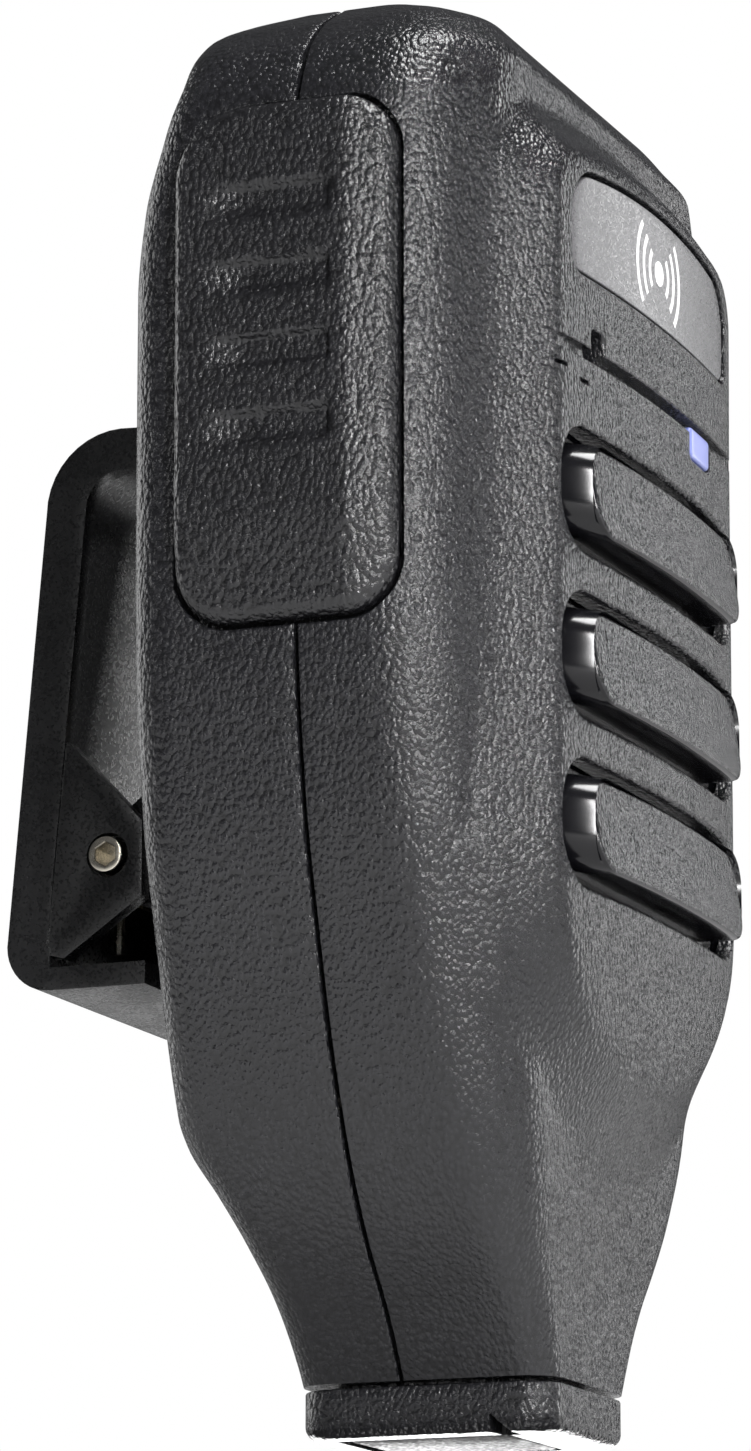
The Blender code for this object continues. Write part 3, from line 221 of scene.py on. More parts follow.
def front_half_section(height, inset=0.0):
    side, facet, fall = facet_sizes(height, inset)
    face = ledge_at(height) + inset
    fall = min(fall, 0.45 * (back_at(height) - ledge_at(height)))
    path = rounded_path([(side, -SEAM - 2 * LIP), (side, face + fall), (side - facet, face), (0, face)],
                        FACET_TURNS, [5, 7, FRONT_COLUMNS])
    lip = [Vector((side - LIP, -SEAM)), Vector((side - 0.3 * LIP, -SEAM - 0.5 * LIP))]
    return lip + path


def rear_half_section(height, inset=0.0):
    side = half_width(height) - inset
    rear = back_at(height) - inset
    path = rounded_path([(side, SEAM + 2 * LIP), (side, rear), (0, rear)],
                        [min(1.25 * CORNER, 0.4 * side)], [8, 14], 9)
    lip = [Vector((side - LIP, SEAM)), Vector((side - 0.3 * LIP, SEAM + 0.5 * LIP))]
    return lip + path


def ring_from_half(half, height):
    """A closed ring: from the middle of the seam round one side to the other."""
    other_side = [Vector((-point.x, point.y)) for point in reversed(half[:-1])]
    whole = [Vector((0, half[0].y))] + half + other_side
    return [(point.x, point.y, height) for point in whole]

# %% [markdown]
# ## Lofting with a wrapped grid
# A loft is a skin over a stack of rings. Blender's grid operator makes the skin in one go: the grid
# is rolled round the rings, its two edges meet and merge, and the ends are filled. It is much faster
# than bridging two hundred rings in pairs. Plates are lofts of two rings, and round things are spun.

# %% A skin over rings
PIECES = bpy.data.collections.new("pieces")
bpy.context.scene.collection.children.link(PIECES)
CUTTERS = bpy.data.collections.new("cutters")
bpy.context.scene.collection.children.link(CUTTERS)


def piece_from(shape, name, collection=PIECES):
    mesh = bpy.data.meshes.new(name)
    shape.to_mesh(mesh)
    shape.free()
    made = bpy.data.objects.new(name, mesh)
    collection.objects.link(made)
    return made


def loft(name, rings, collection=PIECES):
    rings = np.asarray(rings, float)
    rows, columns = len(rings), len(rings[0])
    shape = bmesh.new()
    bmesh.ops.create_grid(shape, x_segments=columns, y_segments=rows - 1, size=1.0)
    for point in shape.verts:
        column = round((point.co.x + 1) / 2 * columns) % columns
        row = round((point.co.y + 1) / 2 * (rows - 1))
        point.co = rings[row][column]
    bmesh.ops.remove_doubles(shape, verts=shape.verts, dist=0.0000005)
    bmesh.ops.holes_fill(shape, edges=[edge for edge in shape.edges if edge.is_boundary], sides=0)
    bmesh.ops.recalc_face_normals(shape, faces=shape.faces)
    return piece_from(shape, name, collection)

# %% Outlines, plates and blocks
def rounded_outline(low, high, radii, steps=8, straights=(1, 1)):
    """A rectangle's outline with its own radius at each corner, from the low corner round."""
    (a0, b0), (a1, b1) = low, high
    corners = ((a0, b0, 1, 1, math.pi), (a1, b0, -1, 1, 1.5 * math.pi),
               (a1, b1, -1, -1, 0.0), (a0, b1, 1, -1, 0.5 * math.pi))
    arcs = []
    for (a, b, inward_a, inward_b, start), radius in zip(corners, radii):
        angles = [start + step / steps * math.pi / 2 for step in range(steps + 1)]
        arcs.append([(a + inward_a * radius + radius * math.cos(angle),
                      b + inward_b * radius + radius * math.sin(angle)) for angle in angles])
    outline = []
    for index, arc in enumerate(arcs):
        outline += arc
        (a, b), (next_a, next_b) = arc[-1], arcs[(index + 1) % 4][0]
        pieces = straights[index % 2]
        outline += [(a + (next_a - a) * step / pieces, b + (next_b - b) * step / pieces)
                    for step in range(1, pieces)]
    return outline


def grown(low, high, radii, grow, steps=8, straights=(1, 1)):
    return rounded_outline((low[0] - grow, low[1] - grow), (high[0] + grow, high[1] + grow),
                           [radius + grow for radius in radii], steps, straights)


def prism(name, outline, start, end, axis, collection=PIECES):
    """An outline of (y, z) pushed along X, or of (x, z) pushed along Y."""
    if axis == "X":
        rings = [[(level, a, b) for a, b in outline] for level in (start, end)]
    else:
        rings = [[(a, level, b) for a, b in outline] for level in (start, end)]
    return loft(name, rings, collection)


def block(name, low, high, bevel=0.0):
    low, high = Vector(low), Vector(high)
    shape = bmesh.new()
    bmesh.ops.create_cube(shape, size=1.0)
    bmesh.ops.scale(shape, vec=high - low, verts=shape.verts)
    bmesh.ops.translate(shape, vec=(low + high) / 2, verts=shape.verts)
    if bevel:
        bmesh.ops.bevel(shape, geom=shape.edges, offset=bevel, offset_type="OFFSET", segments=3,
                        profile=0.5, affect="EDGES", material=-1)
    return piece_from(shape, name, CUTTERS)

# %% Turned shapes
def spun(name, profile, centre, axis, steps=48, collection=PIECES):
    """A profile of (radius, along) turned round an axis through the centre."""
    shape = bmesh.new()
    points = [shape.verts.new((radius, 0, level)) for radius, level in profile]
    edges = [shape.edges.new(pair) for pair in zip(points, points[1:])]
    bmesh.ops.spin(shape, geom=points + edges, cent=(0, 0, 0), axis=(0, 0, 1), angle=2 * math.pi,
                   steps=steps, use_merge=True)
    bmesh.ops.remove_doubles(shape, verts=shape.verts, dist=0.0000005)
    bmesh.ops.recalc_face_normals(shape, faces=shape.faces)
    turn = {"X": Matrix.Rotation(math.pi / 2, 4, "Y"), "Y": Matrix.Rotation(-math.pi / 2, 4, "X"),
            "Z": Matrix.Identity(4)}[axis]
    bmesh.ops.transform(shape, matrix=Matrix.Translation(centre) @ turn, verts=shape.verts)
    return piece_from(shape, name, collection)


# %% [markdown]
# ## Cutting and joining
# A hole, a slot or an ear is a small shape of its own that is taken from the piece or merged with it
# by a Boolean modifier. Settling applies them all at once, and the piece is then given its finish,
# the moving body that it rides on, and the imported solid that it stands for.

# %% Cutting, joining and settling
def combine(thing, other, operation="DIFFERENCE"):
    step = thing.modifiers.new(operation.lower() + " " + other.name, "BOOLEAN")
    step.operation = operation
    step.object = other
    step.solver = "EXACT"
    other.hide_render = True


def settle(thing, sharp=35.0):
    """Applies the modifiers and shades smooth except over sharp edges."""
    graph = bpy.context.evaluated_depsgraph_get()
    mesh = bpy.data.meshes.new_from_object(thing.evaluated_get(graph))
    thing.modifiers.clear()
    thing.data = mesh
    mesh.shade_smooth()
    mesh.set_sharp_from_angle(angle=math.radians(sharp))
    print(thing.name, len(mesh.polygons), "faces")


def clear_cutters():
    for cutter in list(CUTTERS.all_objects):
        bpy.data.objects.remove(cutter)
    for group in list(CUTTERS.children):
        bpy.data.collections.remove(group)


def soften(thing, width, sharp=40.0, segments=2):
    step = thing.modifiers.new("edge", "BEVEL")
    step.width = width
    step.segments = segments
    step.limit_method = "ANGLE"
    step.angle_limit = math.radians(sharp)
    step.use_clamp_overlap = True

# %% Small cuts, and placing a piece
def with_block(thing, name, low, high, operation="DIFFERENCE", bevel=0.0):
    combine(thing, block(name, low, high, bevel), operation)


def with_prism(thing, name, outline, start, end, operation="UNION"):
    combine(thing, prism(name, outline, start, end, "X", CUTTERS), operation)


def drill(thing, name, radius, low, high, centre, axis, steps=32):
    profile = [(0, low), (radius, low), (radius, high), (0, high)]
    combine(thing, spun(name, profile, centre, axis, steps, CUTTERS))


def dress(thing, *materials):
    thing.data.materials.clear()
    for material in materials:
        thing.data.materials.append(material)


def show(thing, body, slot, *replaced):
    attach(thing, body)
    if replaced:
        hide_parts(*replaced)


def complete(thing, sharp, material, body, slot, node):
    settle(thing, sharp)
    clear_cutters()
    dress(thing, material)
    show(thing, body, slot, node)

# %% [markdown]
# ## Surface finishes
# The casing is one dark plastic, yet it is never one colour. Its mould was etched with a leather
# grain, so each tiny cell catches the light by itself and sparkles where a lamp is mirrored. The
# grain is a group of nodes with named sockets, and each finish sets its own cell size and depth.
# It also paints shade into the creases between cells, as a darker colour.

# %% Node helpers
def new_group(name, inputs, outputs):
    """A node group with number inputs and their defaults, and outputs of the given kinds."""
    group = bpy.data.node_groups.new(name, "ShaderNodeTree")
    for socket, value in inputs.items():
        made = group.interface.new_socket(name=socket, in_out="INPUT", socket_type="NodeSocketFloat")
        made.default_value = value
    for socket, kind in outputs.items():
        group.interface.new_socket(name=socket, in_out="OUTPUT", socket_type="NodeSocket" + kind)
    return group, group.nodes.new("NodeGroupInput").outputs, group.nodes.new("NodeGroupOutput").inputs


def add(tree, kind, links=(), **settings):
    """A shader node; links give, for each input socket, a value or the output that feeds it."""
    node = tree.nodes.new("ShaderNode" + kind)
    for name, value in settings.items():
        setattr(node, name, value)
    for socket, source in dict(links).items():
        if isinstance(source, bpy.types.NodeSocket):
            tree.links.new(source, node.inputs[socket])
        else:
            node.inputs[socket].default_value = source
    return node


def worked_out(tree, operation, first, second):
    return add(tree, "Math", {0: first, 1: second}, operation=operation).outputs[0]

# %% Leather grain
def grain_group():
    """Leather grain: swollen cells with creases between them, finer wrinkles on top, and a crease mask for
    painted shade.
    """
    group, given, result = new_group(
        "moulded_grain", {"Cell Size": 0.4 * MM, "Depth": 0.06 * MM, "Stretch": 1.0, "Fine Share": 0.35},
        {"Normal": "Vector", "Crease Shade": "Float", "Polish": "Float"})
    place = add(group, "TexCoord")
    density = worked_out(group, "DIVIDE", 1.0, given["Cell Size"])
    flatter = worked_out(group, "DIVIDE", density, given["Stretch"])
    scale = add(group, "CombineXYZ", {0: density, 1: density, 2: flatter})
    spread = add(group, "VectorMath", {0: place.outputs["Object"], 1: scale.outputs[0]},
                 operation="MULTIPLY").outputs[0]
    drift = add(group, "TexNoise", {"Vector": spread, "Scale": 0.9, "Detail": 1.0})
    bent = add(group, "VectorMath", {0: drift.outputs["Color"], 1: (0.3, 0.3, 0.3), 2: spread},
               operation="MULTIPLY_ADD")
    cells = add(group, "TexVoronoi", {"Vector": bent.outputs[0], "Scale": 1.0, "Smoothness": 0.35},
                feature="SMOOTH_F1").outputs
    fine = add(group, "TexNoise", {"Vector": spread, "Scale": 2.6, "Detail": 2.0, "Roughness": 0.6})
    fine_part = worked_out(group, "MULTIPLY", fine.outputs[0], given["Fine Share"])
    height = worked_out(group, "SUBTRACT", fine_part, cells["Distance"])
    bump = add(group, "Bump", {"Strength": 1.0, "Distance": given["Depth"], "Height": height})
    # Crease mask: it darkens the colour between the cells, a painted shade.
    crease_shade_mask = add(group, "MapRange", {"Value": cells["Distance"], "From Min": 0.35, "From Max": 0.75})
    shade = add(group, "SeparateColor", {0: cells["Color"]})
    polish = add(group, "MapRange", {"Value": shade.outputs[0], "To Min": 0.6, "To Max": 1.2})
    for name, source in (("Polish", polish), ("Normal", bump), ("Crease Shade", crease_shade_mask)):
        group.links.new(source.outputs[0], result[name])
    return group


GRAIN = grain_group()
print("grain group of", len(GRAIN.nodes), "nodes")

# %% Slow unevenness
def cloud_group():
    """Slow unevenness, for faint handling marks and dust."""
    group, given, result = new_group("slow_cloud", {"Patch Size": 10 * MM, "Low": 0.4, "High": 0.6},
                                     {"Value": "Float"})
    place = add(group, "TexCoord")
    density = worked_out(group, "DIVIDE", 1.0, given["Patch Size"])
    noise = add(group, "TexNoise", {"Vector": place.outputs["Object"], "Scale": density, "Detail": 3.0})
    spread = add(group, "MapRange", {"Value": noise.outputs[0], "From Min": 0.3, "From Max": 0.7,
                                     "To Min": given["Low"], "To Max": given["High"]})
    group.links.new(spread.outputs[0], result["Value"])
    return group


CLOUD = cloud_group()
print("cloud group of", len(CLOUD.nodes), "nodes")

# %% [markdown]
# ## One recipe for every finish
# A plastic, a metal and a rubber differ in a few numbers only: how dark and how rough they are, if
# they are metal, and how deep their grain is. One recipe takes those numbers, so that every finish
# wanders a little in colour and gloss, as real ones do.

# %% The recipe
def use_group(tree, group, **values):
    node = tree.nodes.new("ShaderNodeGroup")
    node.node_tree = group
    for name, value in values.items():
        node.inputs[name.replace("_", " ").title()].default_value = value
    return node


def finish(name, colour, roughness, metallic=0.0, grain=None, cloud=(0.9, 1.1), patch=8 * MM, specular=0.5,
           coat=0.0, emission=0.0):
    """A finish that wanders a little; grain is (cell size, depth, stretch, share of fine wrinkles)."""
    made = bpy.data.materials.new(name)
    made.use_nodes = True
    tree = made.node_tree
    shader = tree.nodes["Principled BSDF"]
    shader.inputs["Metallic"].default_value = metallic
    shader.inputs["Specular IOR Level"].default_value = specular
    shader.inputs["Coat Weight"].default_value = coat
    shader.inputs["Coat Roughness"].default_value = 0.12
    drift = use_group(tree, CLOUD, patch_size=patch, low=cloud[0], high=cloud[1])
    tint = add(tree, "VectorMath", {0: colour, "Scale": drift.outputs[0]}, operation="SCALE")
    colour_source = tint.outputs[0]
    rough = worked_out(tree, "MULTIPLY", roughness, drift.outputs[0])
    tree.links.new(rough, shader.inputs["Roughness"])
    if grain:
        cells = use_group(tree, GRAIN, cell_size=grain[0], depth=grain[1], stretch=grain[2],
                          fine_share=grain[3]).outputs
        tree.links.new(cells["Normal"], shader.inputs["Normal"])
        uneven = worked_out(tree, "MULTIPLY", rough, cells["Polish"])
        tree.links.new(uneven, shader.inputs["Roughness"])
        # Painted shade: the base colour falls to 45 % in the grain's creases, where shade would gather.
        painted_crease_shade = (*[part * 0.45 for part in colour], 1)
        crease_shaded_colour = add(tree, "Mix", {0: cells["Crease Shade"], 6: colour_source, 7: painted_crease_shade}, data_type="RGBA")
        colour_source = crease_shaded_colour.outputs[2]
    tree.links.new(colour_source, shader.inputs["Base Color"])
    if emission:
        shader.inputs["Emission Color"].default_value = (*colour, 1)
        shader.inputs["Emission Strength"].default_value = emission
    return made

# %% The finishes
CASING = finish("charcoal_grain", (0.0125, 0.0125, 0.0145), 0.22, grain=(0.31 * MM, 0.105 * MM, 1.4, 0.42))
BUTTON = finish("button_grain", (0.0115, 0.0115, 0.013), 0.21, grain=(0.35 * MM, 0.12 * MM, 1.4, 0.42))
BAR_FACE = finish("bar_grain", (0.0125, 0.0125, 0.0145), 0.22, grain=(0.29 * MM, 0.09 * MM, 1.4, 0.42))
GLOSS = finish("gloss_black", (0.004, 0.004, 0.005), 0.16, cloud=(0.9, 1.25), patch=3 * MM, specular=0.32)
BADGE = finish("badge_grey", (0.078, 0.077, 0.082), 0.38, cloud=(0.95, 1.05), patch=14 * MM,
               grain=(0.12 * MM, 0.004 * MM, 1.0, 0.8))
MARK = finish("mark_white", (0.72, 0.72, 0.72), 0.45)
CLIP = finish("clip_satin", (0.0075, 0.0075, 0.008), 0.34, cloud=(0.85, 1.2), patch=6 * MM,
              grain=(0.16 * MM, 0.006 * MM, 1.0, 0.8))
NICKEL = finish("nickel", (0.62, 0.58, 0.50), 0.22, 1.0, cloud=(0.8, 1.3), patch=1.5 * MM)
RUBBER = finish("rubber", (0.016, 0.016, 0.017), 0.62, grain=(0.22 * MM, 0.012 * MM, 1.0, 0.6))
LENS_MILK = finish("lens_milk", (0.16, 0.19, 0.46), 0.3, coat=0.2, emission=0.12)
BOARD = finish("board_green", (0.012, 0.09, 0.04), 0.35, cloud=(0.7, 1.2), patch=2 * MM)
PAPER = finish("speaker_paper", (0.03, 0.03, 0.032), 0.8, grain=(0.3 * MM, 0.05 * MM, 1.0, 0.9))
CELL = finish("cell_sleeve", (0.06, 0.12, 0.32), 0.3, cloud=(0.9, 1.1), patch=10 * MM)
print(len(bpy.data.materials), "finishes")

# %% [markdown]
# ## The raised panel
# The speaker and the badge sit on a panel that stands 4 mm out of the front, with steep sides and an
# oval foot. It isn't a separate piece, only a swelling of the front cover, so it is made by pushing
# the cover's own front vertices forward. A soft minimum joins it to the ledge with a small hollow,
# and a soft maximum rolls the slope over into the face.

# %% Outlines of the panel
FOOT_HALF, FACE_HALF = 20.6 * MM, 18.0 * MM
FOOT_TOP, FACE_TOP = TOP - 4.5 * MM, TOP - 9.0 * MM
FOOT_BOTTOM, FACE_BOTTOM = 17.0 * MM, 23.2 * MM
ROUND_START = 38.0 * MM
HOLLOW, ROLL = 0.2 * MM, 0.55 * MM   # widths of the soft minimum and the soft maximum
SHOULDER = 1.2 * MM                 # the top edge's fall from its middle to its corners
LEAN = smooth_line(
    ((0.0, 5.0 * MM), (6.0 * MM, 2.6 * MM), (9.0 * MM, 0.6 * MM), (12.0 * MM, 0.0), (26.0 * MM, 0.1 * MM),
     (60.0 * MM, 0.2 * MM), (72.0 * MM, 1.2 * MM), (80.0 * MM, 2.4 * MM)))


def panel_outline(half, top, corner, bottom, steps=14):
    right = [(0.0, top), (half * 0.25, top - 0.15 * MM), (half * 0.45, top - 0.5 * MM)]
    for step in range(steps):
        angle = math.pi / 2 * (1 - step / (steps - 1))
        right.append((half - corner * (1 - math.cos(angle)),
                      top - SHOULDER - corner * (1 - math.sin(angle))))
    for step in range(1, 6):
        right.append((half, top - SHOULDER - corner + (ROUND_START - top + SHOULDER + corner) * step / 6))
    for step in range(24):
        angle = math.pi / 2 * step / 24
        right.append((half * math.cos(angle) ** 0.92,
                      ROUND_START - (ROUND_START - bottom) * math.sin(angle)))
    right.append((0.0, bottom))
    return np.array(right + [(-x, z) for x, z in reversed(right[1:-1])])


FOOT = panel_outline(FOOT_HALF, FOOT_TOP, 7.0 * MM, FOOT_BOTTOM)
FACE = panel_outline(FACE_HALF, FACE_TOP, 4.5 * MM, FACE_BOTTOM)
print("panel foot has", len(FOOT), "corners, its face", len(FACE))

# %% How far a point lies inside an outline
def inside_distance(points, outline):
    """Distance from each point to the outline, positive inside it."""
    starts, ends = outline, np.roll(outline, -1, axis=0)
    edges = ends - starts
    best = np.full(len(points), 1e9)
    crossings = np.zeros(len(points), int)
    for start, edge in zip(starts, edges):
        relative = points - start
        share = np.clip(relative @ edge / max(edge @ edge, 1e-18), 0, 1)
        best = np.minimum(best, np.linalg.norm(relative - share[:, None] * edge, axis=1))
        end_z = start[1] + edge[1]
        spans = (start[1] > points[:, 1]) != (end_z > points[:, 1])
        if spans.any():
            at = start[0] + edge[0] * (points[:, 1] - start[1]) / (edge[1] if edge[1] else 1e-12)
            crossings += spans & (points[:, 0] < at)
    return np.where(crossings % 2 == 1, best, -best)

# %% The panel's surface
def panel_face(x, z):
    lean = np.interp(TOP - z, *LEAN)
    return -LEDGE - PANEL_RISE + lean + PANEL_CROWN * (x / FACE_HALF) ** 2


def soft_min(a, b, width):
    return 0.5 * (a + b - np.sqrt((a - b) ** 2 + width ** 2))


def soft_max(a, b, width):
    return 0.5 * (a + b + np.sqrt((a - b) ** 2 + width ** 2))


def raise_panel(rings):
    """Pushes the front of the rings forward to the panel's surface."""
    rings = np.array(rings, float)
    flat = rings.reshape(-1, 3)
    near = ((flat[:, 1] < -7.0 * MM) & (np.abs(flat[:, 0]) < FOOT_HALF + MM)
            & (flat[:, 2] > FOOT_BOTTOM - MM))
    points = flat[near][:, [0, 2]]
    into_foot, into_face = inside_distance(points, FOOT), inside_distance(points, FACE)
    share = into_foot / np.maximum(into_foot - into_face, 0.4 * MM)
    face = panel_face(points[:, 0], points[:, 1])
    slope = -LEDGE + 0.25 * MM + (face + LEDGE) * share
    panel = soft_max(slope, face, ROLL)
    panel = np.where(into_foot > -1.2 * MM, panel, 1.0)
    front_now = flat[near][:, 1]
    flat[near, 1] = np.minimum(front_now + 0.02 * MM, soft_min(front_now, panel, HOLLOW))
    return flat.reshape(rings.shape)

# %% [markdown]
# ## Cutters with rounded mouths
# Every opening in a moulding has a small radius at its rim. If the cutter itself flares out as it
# leaves the surface, the rim comes out rounded from the Boolean, with no bevel to go wrong on a
# dense mesh.

# %% A cutter with a flared mouth
def flared(name, outline, surface, depth, rim, out, axis):
    """A cutter for a window: surface(a, b) is the skin, out its side, and depth the cut's far end."""
    rings = []
    for grow, lift in ((0.0, None), (0.0, rim), (0.07 * rim, 0.62 * rim), (0.29 * rim, 0.29 * rim),
                       (0.62 * rim, 0.07 * rim), (rim, 0.0), (1.25 * rim, -0.25 * rim),
                       (1.25 * rim, -2.5 * MM)):
        ring = []
        for a, b in outline(grow):
            level = depth if lift is None else surface(a, b) - out * lift
            ring.append((a, level, b) if axis == "Y" else (level, a, b))
        rings.append(ring)
    return loft(name, rings, CUTTERS)

# %% Sizes of the button and the key
ptt_low, ptt_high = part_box("ptt_button")
PTT_FLANGE = 0.9 * MM
BUTTON_GAP = 0.35 * MM
PTT_LOW = (ptt_low.y + PTT_FLANGE, ptt_low.z + PTT_FLANGE)
PTT_HIGH = (ptt_high.y - PTT_FLANGE, ptt_high.z - PTT_FLANGE)
PTT_RADII = (3.6 * MM, 3.6 * MM, 5.0 * MM, 3.6 * MM)
PTT_FACE = ptt_low.x
key_low, key_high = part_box("power_key")
KEY_LOW = (key_low.y + PTT_FLANGE, key_low.z + PTT_FLANGE)
KEY_HIGH = (key_high.y - PTT_FLANGE, key_high.z - PTT_FLANGE)
KEY_RADII = ((KEY_HIGH[0] - KEY_LOW[0]) / 2 - 0.02 * MM,) * 4
KEY_FACE = key_high.x
print("button, mm:", round((PTT_HIGH[0] - PTT_LOW[0]) / MM, 1), "x",
      round((PTT_HIGH[1] - PTT_LOW[1]) / MM, 1))

# %% The hollow and the side openings
def inner_rings():
    """The hollow inside, one wall in from the skin."""
    rings = []
    for height in np.linspace(CAP_HEIGHT - 2 * MM, TOP - 1.4 * WALL, 34):
        at = min(max(height, CAP_HEIGHT), TOP - 2.4 * WALL)
        side, facet, fall = facet_sizes(at, WALL)
        face, rear = ledge_at(at) + WALL, back_at(at) - WALL
        if height > at:
            face, rear, side = 0.9 * face, 0.9 * rear, side - 1.2 * (height - at)
        fall = min(fall, 0.4 * (rear - face))
        half = [(0, rear), (side - 0.7 * CORNER, rear), (side, rear - 0.7 * CORNER), (side, face + fall),
                (side - facet, face)]
        ring = half + [(0, face)] + [(-x, y) for x, y in reversed(half[1:])]
        rings.append([(x, y, height) for x, y in ring])
    return rings


def side_window(name, low, high, radii, out, straights):
    """A window in a side, which leaves the gap round a button."""
    low = (low[0] - BUTTON_GAP, low[1] - BUTTON_GAP)
    high = (high[0] + BUTTON_GAP, high[1] + BUTTON_GAP)
    radii = [radius + BUTTON_GAP for radius in radii]
    return flared(name, lambda grow: grown(low, high, radii, grow, 9, straights),
                  lambda y, z: out * float(half_width(z)), out * (HALF_WIDTH - WALL - 1.2 * MM), 0.2 * MM,
                  out, "X")


def shared_cutters():
    """The hollow and the side openings, which both covers have."""
    pocket = grown(PTT_LOW, PTT_HIGH, PTT_RADII, PTT_FLANGE + BUTTON_GAP)
    inner = -HALF_WIDTH + WALL
    return [loft("hollow", inner_rings(), CUTTERS),
            side_window("ptt_window", PTT_LOW, PTT_HIGH, PTT_RADII, -1, (6, 30)),
            prism("ptt_pocket", pocket, inner, inner + 5 * MM, "X", CUTTERS),
            side_window("key_window", KEY_LOW, KEY_HIGH, KEY_RADII, 1, (1, 10))]

# %% [markdown]
# ## The two covers
# Each cover is one injection moulding, so each is one mesh: a skin lofted from its sections, then
# all its openings cut at once by a collection of cutters. Rows are closest near the top, where the
# form turns over fastest. A ring of two hundred points is plenty for a highlight to run smoothly.

# %% Rows, and cutting with many cutters at once
ROWS = np.concatenate([np.arange(CAP_HEIGHT + GAP, TOP - 7 * MM, 0.45 * MM),
                       np.linspace(TOP - 7 * MM, TOP - 1.2 * MM, 26), np.linspace(TOP - MM, TOP, 8)])


def collect(name, cutters):
    group = bpy.data.collections.new(name)
    CUTTERS.children.link(group)
    for cutter in cutters:
        group.objects.link(cutter)
        cutter.hide_render = True
    return group


def cut_all(thing, name, cutters):
    step = thing.modifiers.new(name, "BOOLEAN")
    step.operation = "DIFFERENCE"
    step.operand_type = "COLLECTION"
    step.collection = collect(name, cutters)
    step.solver = "EXACT"


print("rows in a cover:", len(ROWS))

# %% Places on the front
LOUVRE_TOPS = [TOP - (30.5 + 11.35 * index) * MM for index in range(3)]
LOUVRE_HALF, LOUVRE_FOOT_HALF, LOUVRE_HEIGHT = 14.7 * MM, 16.4 * MM, 7.0 * MM
WINDOW_HALF = LOUVRE_FOOT_HALF + 0.9 * MM
GROOVE_Z = TOP - 24.6 * MM
LAMP_X, LAMP_HALF_X, LAMP_HALF_Z = 8.6 * MM, 2.3 * MM, 1.1 * MM
LAMP_Z = GROOVE_Z - LAMP_HALF_Z
LAMP_GAP = 0.22 * MM
badge_low, badge_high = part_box("badge_plate")
BADGE_HALF = badge_high.x
BADGE_CROWN = 1.2 * MM             # how far the badge's top edge arches up
PANEL_Y = -LEDGE - PANEL_RISE
POCKET_Y = PANEL_Y + 2.2 * MM
grille_low, grille_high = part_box("speaker_grille")
print("louvre tops, mm:", [round(top / MM, 1) for top in LOUVRE_TOPS])


def flat_panel(x, z):
    return float(panel_face(x, z))


def badge_outline(grow, steps=8):
    low, high = badge_low.z - grow, badge_high.z + grow
    half = BADGE_HALF + grow
    corners = (1.2 * MM + grow, 1.2 * MM + grow, 3.0 * MM + grow, 3.0 * MM + grow)
    outline = rounded_outline((-half, low), (half, high - BADGE_CROWN), corners, steps, (26, 6))
    return [(x, z + BADGE_CROWN * (1 - (x / half) ** 2) * min(1, max(0, (z - high + 4 * MM) / (2.8 * MM))))
            for x, z in outline]

# %% Openings in the front
def window_at(name, low, high, radius, depth, rim, straights=(24, 6)):
    return flared(name, lambda grow: grown(low, high, (radius,) * 4, grow, 8, straights), flat_panel, depth,
                  rim, -1, "Y")


def front_cutters():
    """Pocket, louvre windows, groove, badge recess, lamp window, sound notch and two slits."""
    through = POCKET_Y + 1.5 * MM
    pocket = rounded_outline((-17.9 * MM, 33 * MM), (17.9 * MM, TOP - 14 * MM), (3 * MM,) * 4)
    cutters = [prism("pocket", pocket, POCKET_Y, -LEDGE + 3.5 * MM, "Y", CUTTERS)]
    for index, top in enumerate(LOUVRE_TOPS):
        cutters.append(window_at(f"louvre_window_{index}", (-WINDOW_HALF, top - LOUVRE_HEIGHT - 0.9 * MM),
                                 (WINDOW_HALF, top + 0.54 * MM), 3.5 * MM, through, 0.45 * MM))
    cutters.append(window_at("groove", (-19.4 * MM, GROOVE_Z - 0.45 * MM),
                             (19.4 * MM, GROOVE_Z + 0.45 * MM), 0.42 * MM, PANEL_Y + 1.3 * MM, 0.16 * MM,
                             (40, 2)))
    cutters.append(flared("badge_recess", lambda grow: badge_outline(0.28 * MM + grow), flat_panel,
                          PANEL_Y + 2.0 * MM, 0.18 * MM, -1, "Y"))
    cutters.append(window_at(
        "lamp_window", (LAMP_X - LAMP_HALF_X - LAMP_GAP, LAMP_Z - LAMP_HALF_Z - LAMP_GAP),
        (LAMP_X + LAMP_HALF_X + LAMP_GAP, LAMP_Z + LAMP_HALF_Z + 0.1 * MM), 0.5 * MM, through,
        0.12 * MM, (4, 3)))
    cutters.append(window_at("sound_notch", (-12.9 * MM, GROOVE_Z - 0.1 * MM),
                             (-10.7 * MM, GROOVE_Z + 1.9 * MM), 0.6 * MM, through, 0.2 * MM, (4, 3)))
    for x, z in ((-17.2, -1.6), (-14.0, -2.1)):
        cutters.append(window_at(f"slit_{x}", (x * MM - 0.7 * MM, GROOVE_Z + z * MM - 0.16 * MM),
                                 (x * MM + 0.7 * MM, GROOVE_Z + z * MM + 0.16 * MM), 0.15 * MM,
                                 PANEL_Y + 1.6 * MM, 0.08 * MM, (3, 1)))
    return cutters

# %% Front cover
front_rings = raise_panel([ring_from_half(front_half_section(height), height) for height in ROWS])
front = loft("front_shell", front_rings)
cut_all(front, "front_cuts", shared_cutters() + front_cutters())
complete(front, 35, CASING, "housing", "casing", "front_cover")

# %% [markdown]
# ## Rear cover
# The back carries a round boss for the clip and four deep wells for the screws that close the
# casing. Boss and wells are turned shapes merged with the skin before the openings are cut.

# %% Places on the back
swivel_low, swivel_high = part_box("swivel_screw")
SWIVEL_Z = (swivel_low.z + swivel_high.z) / 2
SEAT = 4.2 * MM                    # where the screw heads rest, from the parting plane
WELL, TUBE = 2.4 * MM, 3.0 * MM
BOSS_RADIUS = 12.4 * MM
BOSS_Y = BACK + BOSS_RISE
SCREWS = []
for number in range(1, 5):
    low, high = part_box(f"rear_screw_{number}")
    SCREWS.append(((low.x + high.x) / 2, (low.z + high.z) / 2))
print("screws at, mm:", [(round(x / MM, 1), round(z / MM, 1)) for x, z in SCREWS])

